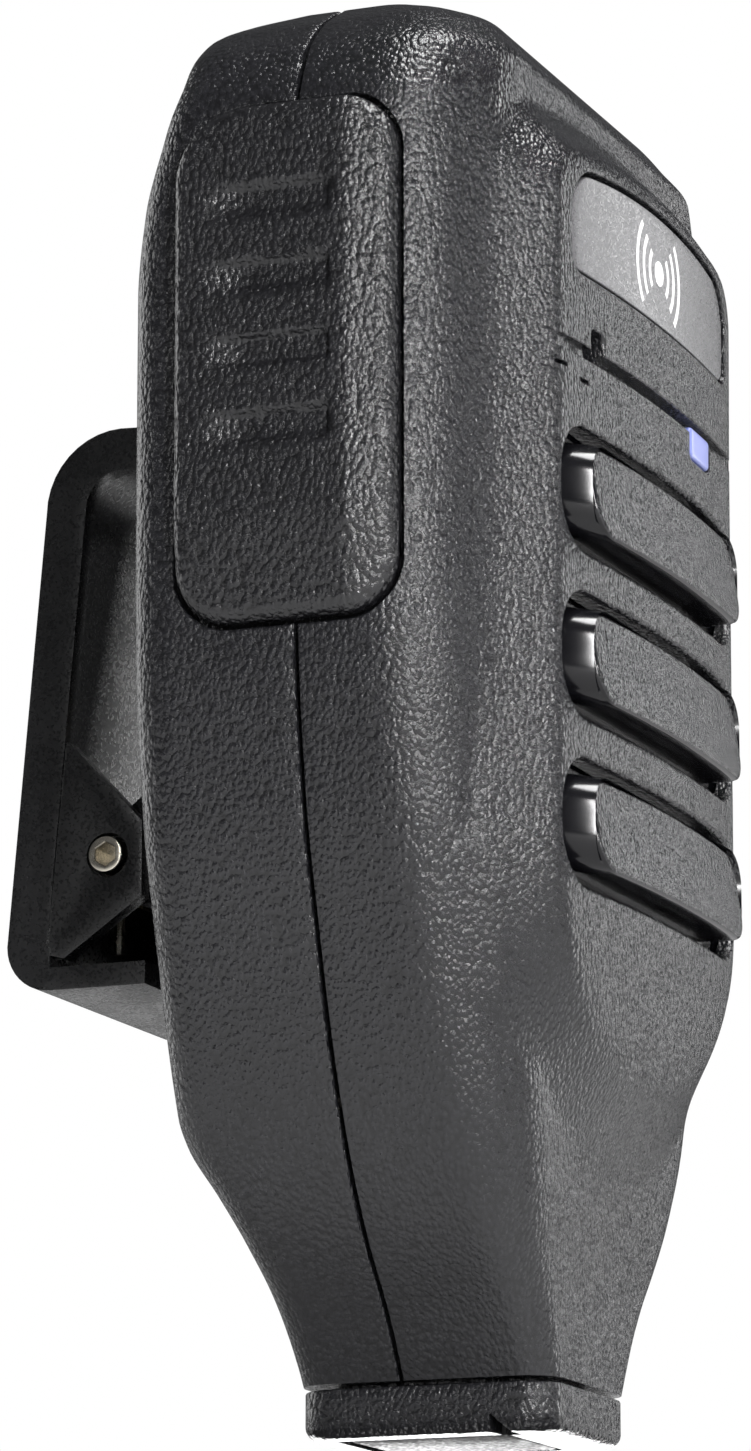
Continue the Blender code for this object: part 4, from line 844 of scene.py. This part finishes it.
# %% Rear cover
rear = loft("rear_shell", [ring_from_half(rear_half_section(height), height) for height in ROWS])
for cutter in shared_cutters():
    combine(rear, cutter)
boss = spun("boss", [(0, BACK - 1.0 * MM), (BOSS_RADIUS, BACK - 1.0 * MM),
                     (BOSS_RADIUS, BOSS_Y - 0.4 * MM), (12.28 * MM, BOSS_Y - 0.12 * MM),
                     (12.0 * MM, BOSS_Y), (0, BOSS_Y)], (0, 0, SWIVEL_Z), "Y", 72, CUTTERS)
combine(rear, boss, "UNION")
for index, (x, z) in enumerate(SCREWS):
    skin = float(back_at(z))
    tube = spun(f"tube_{index}", [(0, SEAT - 1.4 * MM), (TUBE, SEAT - 1.4 * MM), (TUBE, skin - 0.8 * MM),
                                  (0, skin - 0.8 * MM)], (x, 0, z), "Y", 24, CUTTERS)
    combine(rear, tube, "UNION")
    well = spun(f"well_{index}", [(0, SEAT), (WELL, SEAT), (WELL, skin - 0.25 * MM),
                                  (WELL + 0.07 * MM, skin - 0.08 * MM),
                                  (WELL + 0.25 * MM, skin + 0.02 * MM), (WELL + MM, skin + 3 * MM),
                                  (0, skin + 3 * MM)], (x, 0, z), "Y", 32, CUTTERS)
    combine(rear, well)
complete(rear, 35, CASING, "housing", "casing", "rear_cover")

# %% [markdown]
# ## Blocks with rolled edges
# Buttons, bars, plates and lenses are one family: a wall that rises from a hidden foot, an edge that
# rolls over, and a face that follows some surface. Rings that shrink towards the middle give them
# all, and the face may carry ribs or a chamfer simply by returning a different depth.

# %% Faced blocks
def faced(name, outline, surface, walls, edge, out, axis, rings=10, edge_steps=5):
    """Walls as rings of (outline growth, level), then a rolled edge and a face on surface(a, b)."""
    def ring(points, levels):
        if axis == "Y":
            return [(a, level, b) for (a, b), level in zip(points, levels)]
        return [(level, a, b) for (a, b), level in zip(points, levels)]

    built = []
    for grow, level in walls:
        points = outline(grow) if not isinstance(grow, list) else grow
        built.append(ring(points, [level] * len(points)))
    for step in range(edge_steps + 1):
        angle = math.pi / 2 * step / edge_steps
        points = outline(-edge * (1 - math.cos(angle)))
        drop = edge * (1 - math.sin(angle))
        built.append(ring(points, [surface(a, b) - out * drop for a, b in points]))
    rim = outline(-edge)
    middle_a = sum(a for a, b in rim) / len(rim)
    middle_b = sum(b for a, b in rim) / len(rim)
    for step in range(1, rings):
        share = 1 - step / rings
        points = [(middle_a + (a - middle_a) * share, middle_b + (b - middle_b) * share) for a, b in rim]
        built.append(ring(points, [surface(a, b) for a, b in points]))
    return loft(name, built)

# %% [markdown]
# ## Push-to-talk button
# The long button is held down for minutes, so its face has four shallow scoops that stop the thumb
# from sliding, and its front edge is chamfered where the finger rolls on. Each scoop is deepest
# under its upper lip, closes in a hook at the front and fades out at the back.

# %% The button's scoops and slopes
RIB_TOP_DROP, RIB_PITCH, RIB_HEIGHT, RIB_DEPTH = 5.7 * MM, 5.2 * MM, 2.6 * MM, 0.5 * MM
RIB_FRONT, RIB_REAR = -3.2 * MM, 6.3 * MM
CHAMFER_START, CHAMFER_FALL = -4.2 * MM, 1.2 * MM
FLANGE_X = -HALF_WIDTH + WALL + GAP


def ramp(value, low, high):
    t = min(max((value - low) / (high - low), 0.0), 1.0)
    return t * t * (3 - 2 * t)


def ptt_outline(grow):
    return grown(PTT_LOW, PTT_HIGH, PTT_RADII, grow, 9, (28, 66))


def scoop(y, z):
    depth = 0.0
    for index in range(4):
        top = PTT_HIGH[1] - RIB_TOP_DROP - index * RIB_PITCH
        if not top - RIB_HEIGHT - 0.4 * MM < z < top + 0.4 * MM:
            continue
        upper = 1 - ramp(z, top - 0.28 * MM, top + 0.05 * MM)
        lower = ramp(z, top - RIB_HEIGHT, top - RIB_HEIGHT + 0.9 * MM)
        front = ramp(y, RIB_FRONT, RIB_FRONT + 0.45 * MM)
        back = 1 - ramp(y, 3.0 * MM, RIB_REAR)
        depth += RIB_DEPTH * upper * lower * front * back
    return depth


def ptt_surface(y, z):
    past = y - CHAMFER_START
    run = CHAMFER_START - PTT_LOW[0]
    chamfer = CHAMFER_FALL / run * 0.5 * (-past + math.sqrt(past ** 2 + (0.35 * MM) ** 2)) - 0.01 * MM
    under = PTT_LOW[1] + 6.4 * MM - z
    lower_slope = 0.085 * (under + math.sqrt(under ** 2 + (0.8 * MM) ** 2)) - 0.01 * MM
    return PTT_FACE + max(chamfer, 0.0) + max(lower_slope, 0.0) + scoop(y, z)

# %% Push-to-talk button
ptt = faced("ptt_cap", ptt_outline, ptt_surface,
            [(PTT_FLANGE, FLANGE_X + 0.8 * MM), (PTT_FLANGE, FLANGE_X), (0.0, FLANGE_X),
             (0.0, -HALF_WIDTH + 0.6 * MM)], 1.0 * MM, -1, "X", rings=70, edge_steps=7)
complete(ptt, 50, BUTTON, "ptt", "button", "ptt_button")

# %% Power key
KEY_MIDDLE = (KEY_LOW[1] + KEY_HIGH[1]) / 2
KEY_FOOT = HALF_WIDTH - WALL - GAP
DIMPLE = 0.25 * MM
key = faced("power_cap", lambda grow: grown(KEY_LOW, KEY_HIGH, KEY_RADII, grow, 10, (2, 8)),
            lambda y, z: KEY_FACE - DIMPLE * math.exp(-((z - KEY_MIDDLE) / (2.2 * MM)) ** 2),
            [(PTT_FLANGE, KEY_FOOT - 0.8 * MM), (PTT_FLANGE, KEY_FOOT), (0.0, KEY_FOOT)], 0.5 * MM, 1, "X",
            rings=16)
complete(key, 50, BUTTON, "power", "button", "power_key")

# %% [markdown]
# ## Badge and lamp
# The badge is a thin printed plate that sits a hair below the panel, so a dark line runs round it.
# It carries a plain sign for sound, a dot with waves, because this part belongs to no maker. The
# lamp is the milky end of a light pipe.

# %% Badge
SUNK = 0.25 * MM


def badge_surface(x, z):
    return flat_panel(x, z) + SUNK


badge = faced("badge", badge_outline, badge_surface, [(0.0, badge_high.y - 0.02 * MM)], 0.12 * MM, -1,
              "Y", rings=14)
complete(badge, 50, BADGE, "housing", "badge", "badge_plate")

# %% Its sign
def band(name, radius, width, low, high, centre, steps=22):
    """A flat printed arc on the badge: one closed outline, just above and just below the plate."""
    outer = [(radius + width / 2, low + (high - low) * step / steps) for step in range(steps + 1)]
    inner = [(radius - width / 2, angle) for _, angle in reversed(outer)]
    outline = [(centre[0] + reach * math.cos(angle), centre[1] + reach * math.sin(angle))
               for reach, angle in outer + inner]
    rings = [[(x, badge_surface(x, z) + level, z) for x, z in outline]
             for level in (0.03 * MM, -0.03 * MM)]
    return loft(name, rings)


mark_centre = (0.0, (badge_low.z + badge_high.z) / 2 - 0.2 * MM)
pieces = [band("mark_dot", 0.45 * MM, 0.88 * MM, 0, 2 * math.pi * 0.999, mark_centre)]
for radius in (1.9, 3.1, 4.3):
    for start in (-0.72, math.pi - 0.72):
        pieces.append(band("mark_wave", radius * MM, 0.42 * MM, start, start + 1.44, mark_centre))
with bpy.context.temp_override(active_object=pieces[0], selected_editable_objects=pieces):
    bpy.ops.object.join()
dress(pieces[0], MARK)
show(pieces[0], "housing", "badge")
print("sign joined from", len(pieces), "arcs")

# %% Lens of the status lamp
def lens_outline(grow):
    return grown((LAMP_X - LAMP_HALF_X, LAMP_Z - LAMP_HALF_Z), (LAMP_X + LAMP_HALF_X, LAMP_Z + LAMP_HALF_Z),
                 (0.4 * MM,) * 4, grow, 5, (4, 3))


lens = faced("lamp_cap", lens_outline, lambda x, z: flat_panel(x, z) - 0.02 * MM,
             [(0.0, POCKET_Y + 1.2 * MM)], 0.28 * MM, -1, "Y", rings=6)
complete(lens, 50, LENS_MILK, "housing", "lens", "lamp_lens")

# %% [markdown]
# ## Speaker grille
# Sound leaves through dark slots under three tilted bars. The bars and the plate behind them are one
# glossy moulding, and only the outer faces of the bars are grained to match the casing, so each bar
# ends in a shiny slope.

# %% Louvre bars
BAR_SLOPE = 1.1 * MM               # how much further out a bar's foot stands than its top


def bar_outline(top):
    return lambda grow: grown((-LOUVRE_HALF, top - LOUVRE_HEIGHT), (LOUVRE_HALF, top - 0.55 * MM),
                              (2.4 * MM,) * 4, grow, 8, (26, 5))


def bar_surface(top):
    return lambda x, z: flat_panel(x, z) - 0.4 * MM - BAR_SLOPE * (top - z) / LOUVRE_HEIGHT


bars = []
for index, top in enumerate(LOUVRE_TOPS):
    foot = [(x * LOUVRE_FOOT_HALF / LOUVRE_HALF, z + 0.3 * MM) for x, z in bar_outline(top)(0.0)]
    waist = [(x * 1.02, z) for x, z in bar_outline(top)(0.0)]
    bar = faced(f"bar_{index}", bar_outline(top), bar_surface(top),
                [(foot, POCKET_Y + 0.9 * MM), (foot, POCKET_Y + 0.1 * MM), (waist, PANEL_Y - 0.15 * MM)],
                0.38 * MM, -1, "Y", rings=12)
    bars.append(bar)
print(len(bars), "bars")

# %% Speaker grille
edge = grille_high.x
plate_outline = rounded_outline((-edge, grille_low.z), (edge, grille_high.z), (2.5 * MM,) * 4)
grille = prism("grille", plate_outline, POCKET_Y + GAP, POCKET_Y + GAP + 0.9 * MM, "Y")
for top in LOUVRE_TOPS:
    low_z = top - LOUVRE_HEIGHT - 0.8 * MM
    with_block(grille, "sound_slot", (-14 * MM, POCKET_Y - MM, low_z),
               (14 * MM, POCKET_Y + 3 * MM, low_z + 0.75 * MM))
for bar in bars:
    combine(grille, bar, "UNION")
settle(grille, 40)
for bar in bars:
    bpy.data.objects.remove(bar)
dress(grille, GLOSS, BAR_FACE)
for face in grille.data.polygons:
    x, y, z = face.center
    for top in LOUVRE_TOPS:
        on_face = top - LOUVRE_HEIGHT + 0.12 * MM < z < top - 0.62 * MM and abs(x) < LOUVRE_HALF - 0.12 * MM
        if on_face and y < bar_surface(top)(x, z) + 0.2 * MM:
            face.material_index = 1
show(grille, "housing", "grille", "speaker_grille")

# %% [markdown]
# ## Base cap and port cover
# The neck ends in a separate cap with the charging socket under a rubber flap. The cap is lofted
# from the neck's own section with rounded lips, then the flap's recess and a finger notch are cut.

# %% The neck's whole section
def whole_section(height, inset, level):
    side, facet, fall = facet_sizes(height, inset)
    face, rear = ledge_at(height) + inset, back_at(height) - inset
    fall = min(fall, 0.45 * (rear - face))
    corner = min(CORNER, 0.35 * side)
    path = rounded_path([(0, rear), (side, rear), (side, face + fall), (side - facet, face), (0, face)],
                        [1.2 * corner, 1.6 * MM, 1.0 * MM], [8, 8, 4, 8])
    ring = path + [Vector((-point.x, point.y)) for point in reversed(path[1:-1])]
    return [(point.x, point.y, level) for point in ring]

# %% Base cap
EDGE = 0.9 * MM
CAP_RINGS = [(EDGE * (1 - math.sin(angle)), EDGE * (1 - math.cos(angle)))
             for angle in [math.pi / 2 * step / 5 for step in range(6)]]
CAP_RINGS += [(0.0, 1.6 * MM), (0.0, 2.4 * MM), (0.0, 3.1 * MM), (0.06 * MM, CAP_HEIGHT - 0.06 * MM),
              (0.2 * MM, CAP_HEIGHT), (WALL + GAP, CAP_HEIGHT), (WALL + GAP, CAP_HEIGHT + 1.6 * MM)]
flap_low, flap_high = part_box("port_cover")
socket_low, socket_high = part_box("charge_socket")
FLAP_THICK = 1.5 * MM

cap = loft("cap", [whole_section(CAP_HEIGHT, inset, level) for inset, level in CAP_RINGS])
with_block(cap, "recess", (flap_low.x - GAP, flap_low.y - GAP, -MM),
           (flap_high.x + GAP, flap_high.y + GAP, FLAP_THICK + GAP))
with_block(cap, "socket_hole", (socket_low.x - GAP, socket_low.y - GAP, -MM),
           (socket_high.x + GAP, socket_high.y + GAP, 10 * MM))
notch = [(flap_low.y - 2.2 * MM, -MM), (flap_low.y + 0.2 * MM, -MM), (flap_low.y + 0.2 * MM, 1.3 * MM)]
with_prism(cap, "lift_notch", notch, -NECK_HALF - MM, flap_low.x, "DIFFERENCE")
complete(cap, 40, CASING, "housing", "casing", "base_cap")

# %% Port cover
hinge_y = flap_high.y - FLAP_THICK / 2
round_end = [(hinge_y + FLAP_THICK / 2 * math.cos(angle), FLAP_THICK / 2 * (1 + math.sin(angle)))
             for angle in [math.pi / 2 * (step / 6 - 1) for step in range(13)]]
flap = prism("flap", [(flap_low.y, 0.0)] + round_end + [(flap_low.y, FLAP_THICK)], flap_low.x,
             flap_high.x, "X")
plug_middle = (socket_low.y + socket_high.y) / 2
with_block(flap, "plug", (-3.2 * MM, plug_middle - 0.9 * MM, FLAP_THICK - 0.4 * MM),
           (3.2 * MM, plug_middle + 0.9 * MM, FLAP_THICK + MM), "UNION", 0.2 * MM)
soften(flap, 0.2 * MM)
complete(flap, 40, RUBBER, "port", "rubber", "port_cover")

# %% [markdown]
# ## Screws
# A cross recess is two crossed slots. The heads are turned from a short profile, because a head with
# a soft crown and a small edge catches one bright crescent, and a plain cylinder doesn't.

# %% Screws
def screw(name, centre, head, height, shank, length, body, node):
    x, y, z = centre
    crown = [(0.0, 1.0), (0.6, 0.97), (0.85, 0.84), (0.97, 0.6), (1.0, 0.42), (1.0, 0.0)]
    profile = [(out * head, up * height) for out, up in crown]
    profile += [(shank, 0.0), (shank, -length + 0.4 * MM), (0, -length)]
    made = spun(name, profile, centre, "Y", 40)
    reach, slot = 0.52 * head, 0.15 * head
    for a, b in ((reach, slot), (slot, reach)):
        with_block(made, name + "_slot", (x - a, y + 0.45 * height, z - b), (x + a, y + 2 * height, z + b))
    complete(made, 40, NICKEL, body, "steel", node)


for number, (x, z) in enumerate(SCREWS, 1):
    screw(f"screw_{number}", (x, SEAT + GAP, z), 2.1 * MM, 1.5 * MM, MM, 9 * MM, "housing",
          f"rear_screw_{number}")
SWIVEL_HEAD = 1.3 * MM
screw("swivel", (0, swivel_high.y - SWIVEL_HEAD, SWIVEL_Z), 4.0 * MM, SWIVEL_HEAD, 2.0 * MM, 6.8 * MM,
      "clip_base", "swivel_screw")

# %% [markdown]
# ## Belt clip
# The clip is a stiff moulded lever on a hollow pin, closed by a small torsion spring. It is made the
# way a bent sheet is drawn: one side view, pushed across the width, with a flange on each edge for
# stiffness and an ear on each flange for the pin. A fine bevel gives the bright lines on its edges.

# %% Side view of the lever
lever_low, lever_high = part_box("clip_lever")
pin_low, pin_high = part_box("clip_pin")
CLIP_HALF = lever_high.x
PIN_Y, PIN_Z = (pin_low.y + pin_high.y) / 2, (pin_low.z + pin_high.z) / 2
PIN_RADIUS = (pin_high.z - pin_low.z) / 2
CLIP_WALL, CLIP_FLANGE, EAR_WALL = 1.6 * MM, 3.0 * MM, 1.5 * MM


def clip_line(offset):
    """Side view of the lever's outer line, as (y, z), moved inwards by the offset."""
    top, bottom = lever_high.z - offset, lever_low.z + offset
    high_y, low_y = BACK + 12.8 * MM - offset, BACK + 15.4 * MM - offset
    bend, lower_bend = 5.6 * MM - offset, max(3.2 * MM - offset, 0.2 * MM)
    line = [(BACK + 0.6 * MM, top - 0.3 * MM)]
    for step in range(11):
        angle = math.pi / 2 * (1 - step / 10)
        line.append((high_y - bend + bend * math.cos(angle), top - bend + bend * math.sin(angle)))
    for step in range(11):
        angle = -math.pi / 2 * step / 10
        line.append((low_y - lower_bend + lower_bend * math.cos(angle),
                     bottom + lower_bend + lower_bend * math.sin(angle)))
    line.append((BACK + 5.0 * MM, bottom))
    return line

# %% Clip lever
OUT = 20 * MM                      # far enough to pass through the whole clip
lever = prism("lever", clip_line(0.0) + list(reversed(clip_line(CLIP_WALL))), -CLIP_HALF, CLIP_HALF, "X")
flange = clip_line(0.0)[:-1] + list(reversed(clip_line(CLIP_FLANGE)[:-1]))
ear = [(PIN_Y + y * MM, PIN_Z + z * MM)
       for y, z in ((3.0, 8.2), (-2.6, 2.2), (-2.6, -3.0), (3.2, -7.0), (5.5, -6.4), (5.0, 7.6))]
for side in (-1, 1):
    inner = side * (CLIP_HALF - EAR_WALL)
    with_prism(lever, f"flange_{side}", flange, inner, side * CLIP_HALF)
    with_prism(lever, f"ear_{side}", ear, inner, side * (CLIP_HALF - 0.2 * MM))
with_block(lever, "jaw", (-CLIP_HALF + 0.4 * MM, BACK + 0.6 * MM, lever_high.z - 3.6 * MM),
           (CLIP_HALF - 0.4 * MM, BACK + 3.0 * MM, lever_high.z - 0.6 * MM), "UNION")
drill(lever, "pin_hole", PIN_RADIUS + GAP, -OUT, OUT, (0, PIN_Y, PIN_Z), "X", 40)
for index in range(3):
    z = lever_high.z - (9.0 + 1.5 * index) * MM
    with_block(lever, f"tooth_{index}", (-OUT, BACK + 9.2 * MM, z - 0.28 * MM),
               (OUT, BACK + 10.05 * MM, z + 0.28 * MM))
soften(lever, 0.24 * MM, 30.0, 3)
complete(lever, 40, CLIP, "clip_arm", "clip", "clip_lever")

# %% [markdown]
# ## Bracket and pin
# The bracket is a round plate held by the swivel screw, with a tongue down to two lugs that carry the
# pin. The pin is a hollow rivet, so its end shows a thin bright ring round a six-sided bore.

# %% Clip bracket
BRACKET_Y = BOSS_Y + GAP
BRACKET_TOP = BRACKET_Y + 2 * MM
PLATE_LOW = PIN_Z - 5.0 * MM
INNER = CLIP_HALF - CLIP_WALL - GAP
bracket = spun("bracket", [(0, BRACKET_Y), (11 * MM, BRACKET_Y), (11 * MM, BRACKET_TOP),
                           (0, BRACKET_TOP)], (0, 0, SWIVEL_Z), "Y", 64)
with_block(bracket, "plate", (-INNER, BRACKET_Y, PLATE_LOW), (INNER, BRACKET_TOP, SWIVEL_Z), "UNION")
lug = [(BRACKET_Y + MM, PLATE_LOW + 0.4 * MM), (PIN_Y + 0.6 * MM, PIN_Z - 2.4 * MM),
       (PIN_Y + 2.4 * MM, PIN_Z - 1.2 * MM), (PIN_Y + 2.4 * MM, PIN_Z + 1.2 * MM),
       (PIN_Y + 0.6 * MM, PIN_Z + 2.4 * MM), (BRACKET_Y + MM, PIN_Z + 7 * MM)]
for side in (-1, 1):
    with_prism(bracket, f"lug_{side}", lug, side * (INNER - EAR_WALL), side * INNER)
drill(bracket, "lug_hole", PIN_RADIUS + GAP, -OUT, OUT, (0, PIN_Y, PIN_Z), "X")
drill(bracket, "screw_hole", 2.3 * MM, 0, 30 * MM, (0, 0, SWIVEL_Z), "Y")
soften(bracket, 0.2 * MM, 30.0, 2)
complete(bracket, 40, CLIP, "clip_base", "clip", "clip_bracket")

# %% Clip pin
def pin_ring(radius, x, hexagon=False):
    points = []
    for step in range(48):
        angle = 2 * math.pi * step / 48
        reach = radius
        if hexagon:
            reach *= math.cos(math.pi / 6) / math.cos((angle + math.pi / 6) % (math.pi / 3) - math.pi / 6)
        points.append((x, PIN_Y + reach * math.cos(angle), PIN_Z + reach * math.sin(angle)))
    return points


END = pin_high.x
BORE = PIN_RADIUS - 0.42 * MM
half_pin = [pin_ring(BORE, END - 2.5 * MM, True), pin_ring(BORE, END - 0.1 * MM, True),
            pin_ring(BORE + 0.08 * MM, END, True), pin_ring(PIN_RADIUS - 0.12 * MM, END),
            pin_ring(PIN_RADIUS - 0.03 * MM, END - 0.04 * MM), pin_ring(PIN_RADIUS, END - 0.14 * MM)]
pin = loft("pin", half_pin + [[(-x, y, z) for x, y, z in ring] for ring in reversed(half_pin)])
complete(pin, 30, NICKEL, "clip_base", "steel", "clip_pin")

# %% [markdown]
# ## The pieces inside
# The board, battery, speaker and spring keep their modelled shapes, and each gets a real finish,
# because the flap, the slots and the clip let them be seen from some angles.

# %% Finishes for the pieces that stay
INSIDE = {"speaker_cloth": PAPER, "speaker_gasket": RUBBER, "speaker_frame": NICKEL, "speaker_cone": PAPER,
          "speaker_magnet": NICKEL, "microphone_boot": RUBBER, "microphone_capsule": NICKEL,
          "status_lamp": LENS_MILK, "ptt_switch": GLOSS, "power_switch": GLOSS, "circuit_board": BOARD,
          "radio_module": NICKEL, "battery_cell": CELL, "battery_pad": RUBBER, "charge_socket": NICKEL,
          "clip_spring": NICKEL}
for name, material in INSIDE.items():
    dress(nodes[name], material)
    nodes[name].data.shade_smooth()
    nodes[name].data.set_sharp_from_angle(angle=math.radians(35))
print(len(INSIDE), "packed pieces finished")

# %% [markdown]
# ## Light
# Such products are usually lit in a white tent. Here the tent is the world itself, full white behind
# the object and dimmer as a lamp. One narrow softbox beside the button draws the sparkling band down
# the edge, and a weaker one grazes the speaker face.

# %% World and lamps
world = bpy.data.worlds.new("tent")
world.use_nodes = True
bpy.context.scene.world = world
bpy.context.scene.view_settings.view_transform = "Standard"
tree = world.node_tree
tree.nodes.clear()
seen = add(tree, "Background", {"Color": (1, 1, 1, 1), "Strength": 1.0})
lit = add(tree, "Background", {"Color": (0.97, 0.98, 1.0, 1), "Strength": 0.10})
path = add(tree, "LightPath")
mixed = add(tree, "MixShader", {0: path.outputs["Is Camera Ray"], 1: lit.outputs[0],
                                2: seen.outputs[0]})
add(tree, "OutputWorld", {"Surface": mixed.outputs[0]})
print("world of", len(tree.nodes), "nodes")

# %% Softboxes
MIDDLE = Vector((0, 0, 52)) * MM


def softbox(name, direction, size, power, distance=420):
    data = bpy.data.lights.new(name, "AREA")
    data.shape = "RECTANGLE"
    data.size, data.size_y = size[0] * MM, size[1] * MM
    data.energy = power
    lamp = bpy.data.objects.new(name, data)
    bpy.context.scene.collection.objects.link(lamp)
    lamp.location = MIDDLE + Vector(direction).normalized() * distance * MM
    lamp.rotation_euler = (MIDDLE - lamp.location).to_track_quat("-Z", "Y").to_euler()
    print("softbox", name, size, "mm,", power, "W")


softbox("key", (-0.74, -0.64, 0.24), (24, 240), 1.85)
softbox("side", (-0.976, -0.04, 0.24), (12, 240), 0.22)
softbox("front", (0.12, -0.96, 0.24), (40, 200), 0.34)
softbox("graze", (0.9, -0.45, 0.22), (90, 330), 0.50)
softbox("top", (-0.1, -0.35, 0.95), (170, 140), 2.0)
softbox("under", (-0.25, -0.2, -0.95), (240, 200), 0.45, 380)
softbox("behind", (0.87, 0.38, -0.30), (260, 120), 1.25)
softbox("rear", (0.3, 0.92, 0.25), (300, 300), 0.55)

# %% [markdown]
# ## Floor
# A plain pale floor takes the shadow. Seen from below, and from closer than a few millimetres, it is
# clear, so it neither hides the base cap nor darkens it.

# %% Floor
CLOSE = 4 * MM
grey = bpy.data.materials.new("floor_pale")
grey.use_nodes = True
tree = grey.node_tree
shader = tree.nodes["Principled BSDF"]
shader.inputs["Roughness"].default_value = 0.8
drift = use_group(tree, CLOUD, patch_size=60 * MM, low=0.80, high=0.84)
tree.links.new(drift.outputs[0], shader.inputs["Base Color"])
away_side = add(tree, "NewGeometry")
clear = add(tree, "BsdfTransparent")
path = add(tree, "LightPath")
near = worked_out(tree, "LESS_THAN", path.outputs["Ray Length"], CLOSE)
unseen = worked_out(tree, "MAXIMUM", away_side.outputs["Backfacing"], near)
glow = add(tree, "Emission", {"Color": (1, 1, 1, 1), "Strength": 1.0})
lit_floor = add(tree, "MixShader", {0: 0.80, 1: shader.outputs[0], 2: glow.outputs[0]})
direct = add(tree, "MixShader", {0: path.outputs["Is Camera Ray"], 1: shader.outputs[0],
                                 2: lit_floor.outputs[0]})
either = add(tree, "MixShader", {0: unseen, 1: direct.outputs[0], 2: clear.outputs[0]})
tree.links.new(either.outputs[0], tree.nodes["Material Output"].inputs["Surface"])
shape = bmesh.new()
bmesh.ops.create_grid(shape, x_segments=1, y_segments=1, size=1.5)
bmesh.ops.translate(shape, vec=(0, 0, -0.4 * MM), verts=shape.verts)
floor = piece_from(shape, "floor", bpy.context.scene.collection)
dress(floor, grey)
print("floor side, m:", floor.dimensions.x)
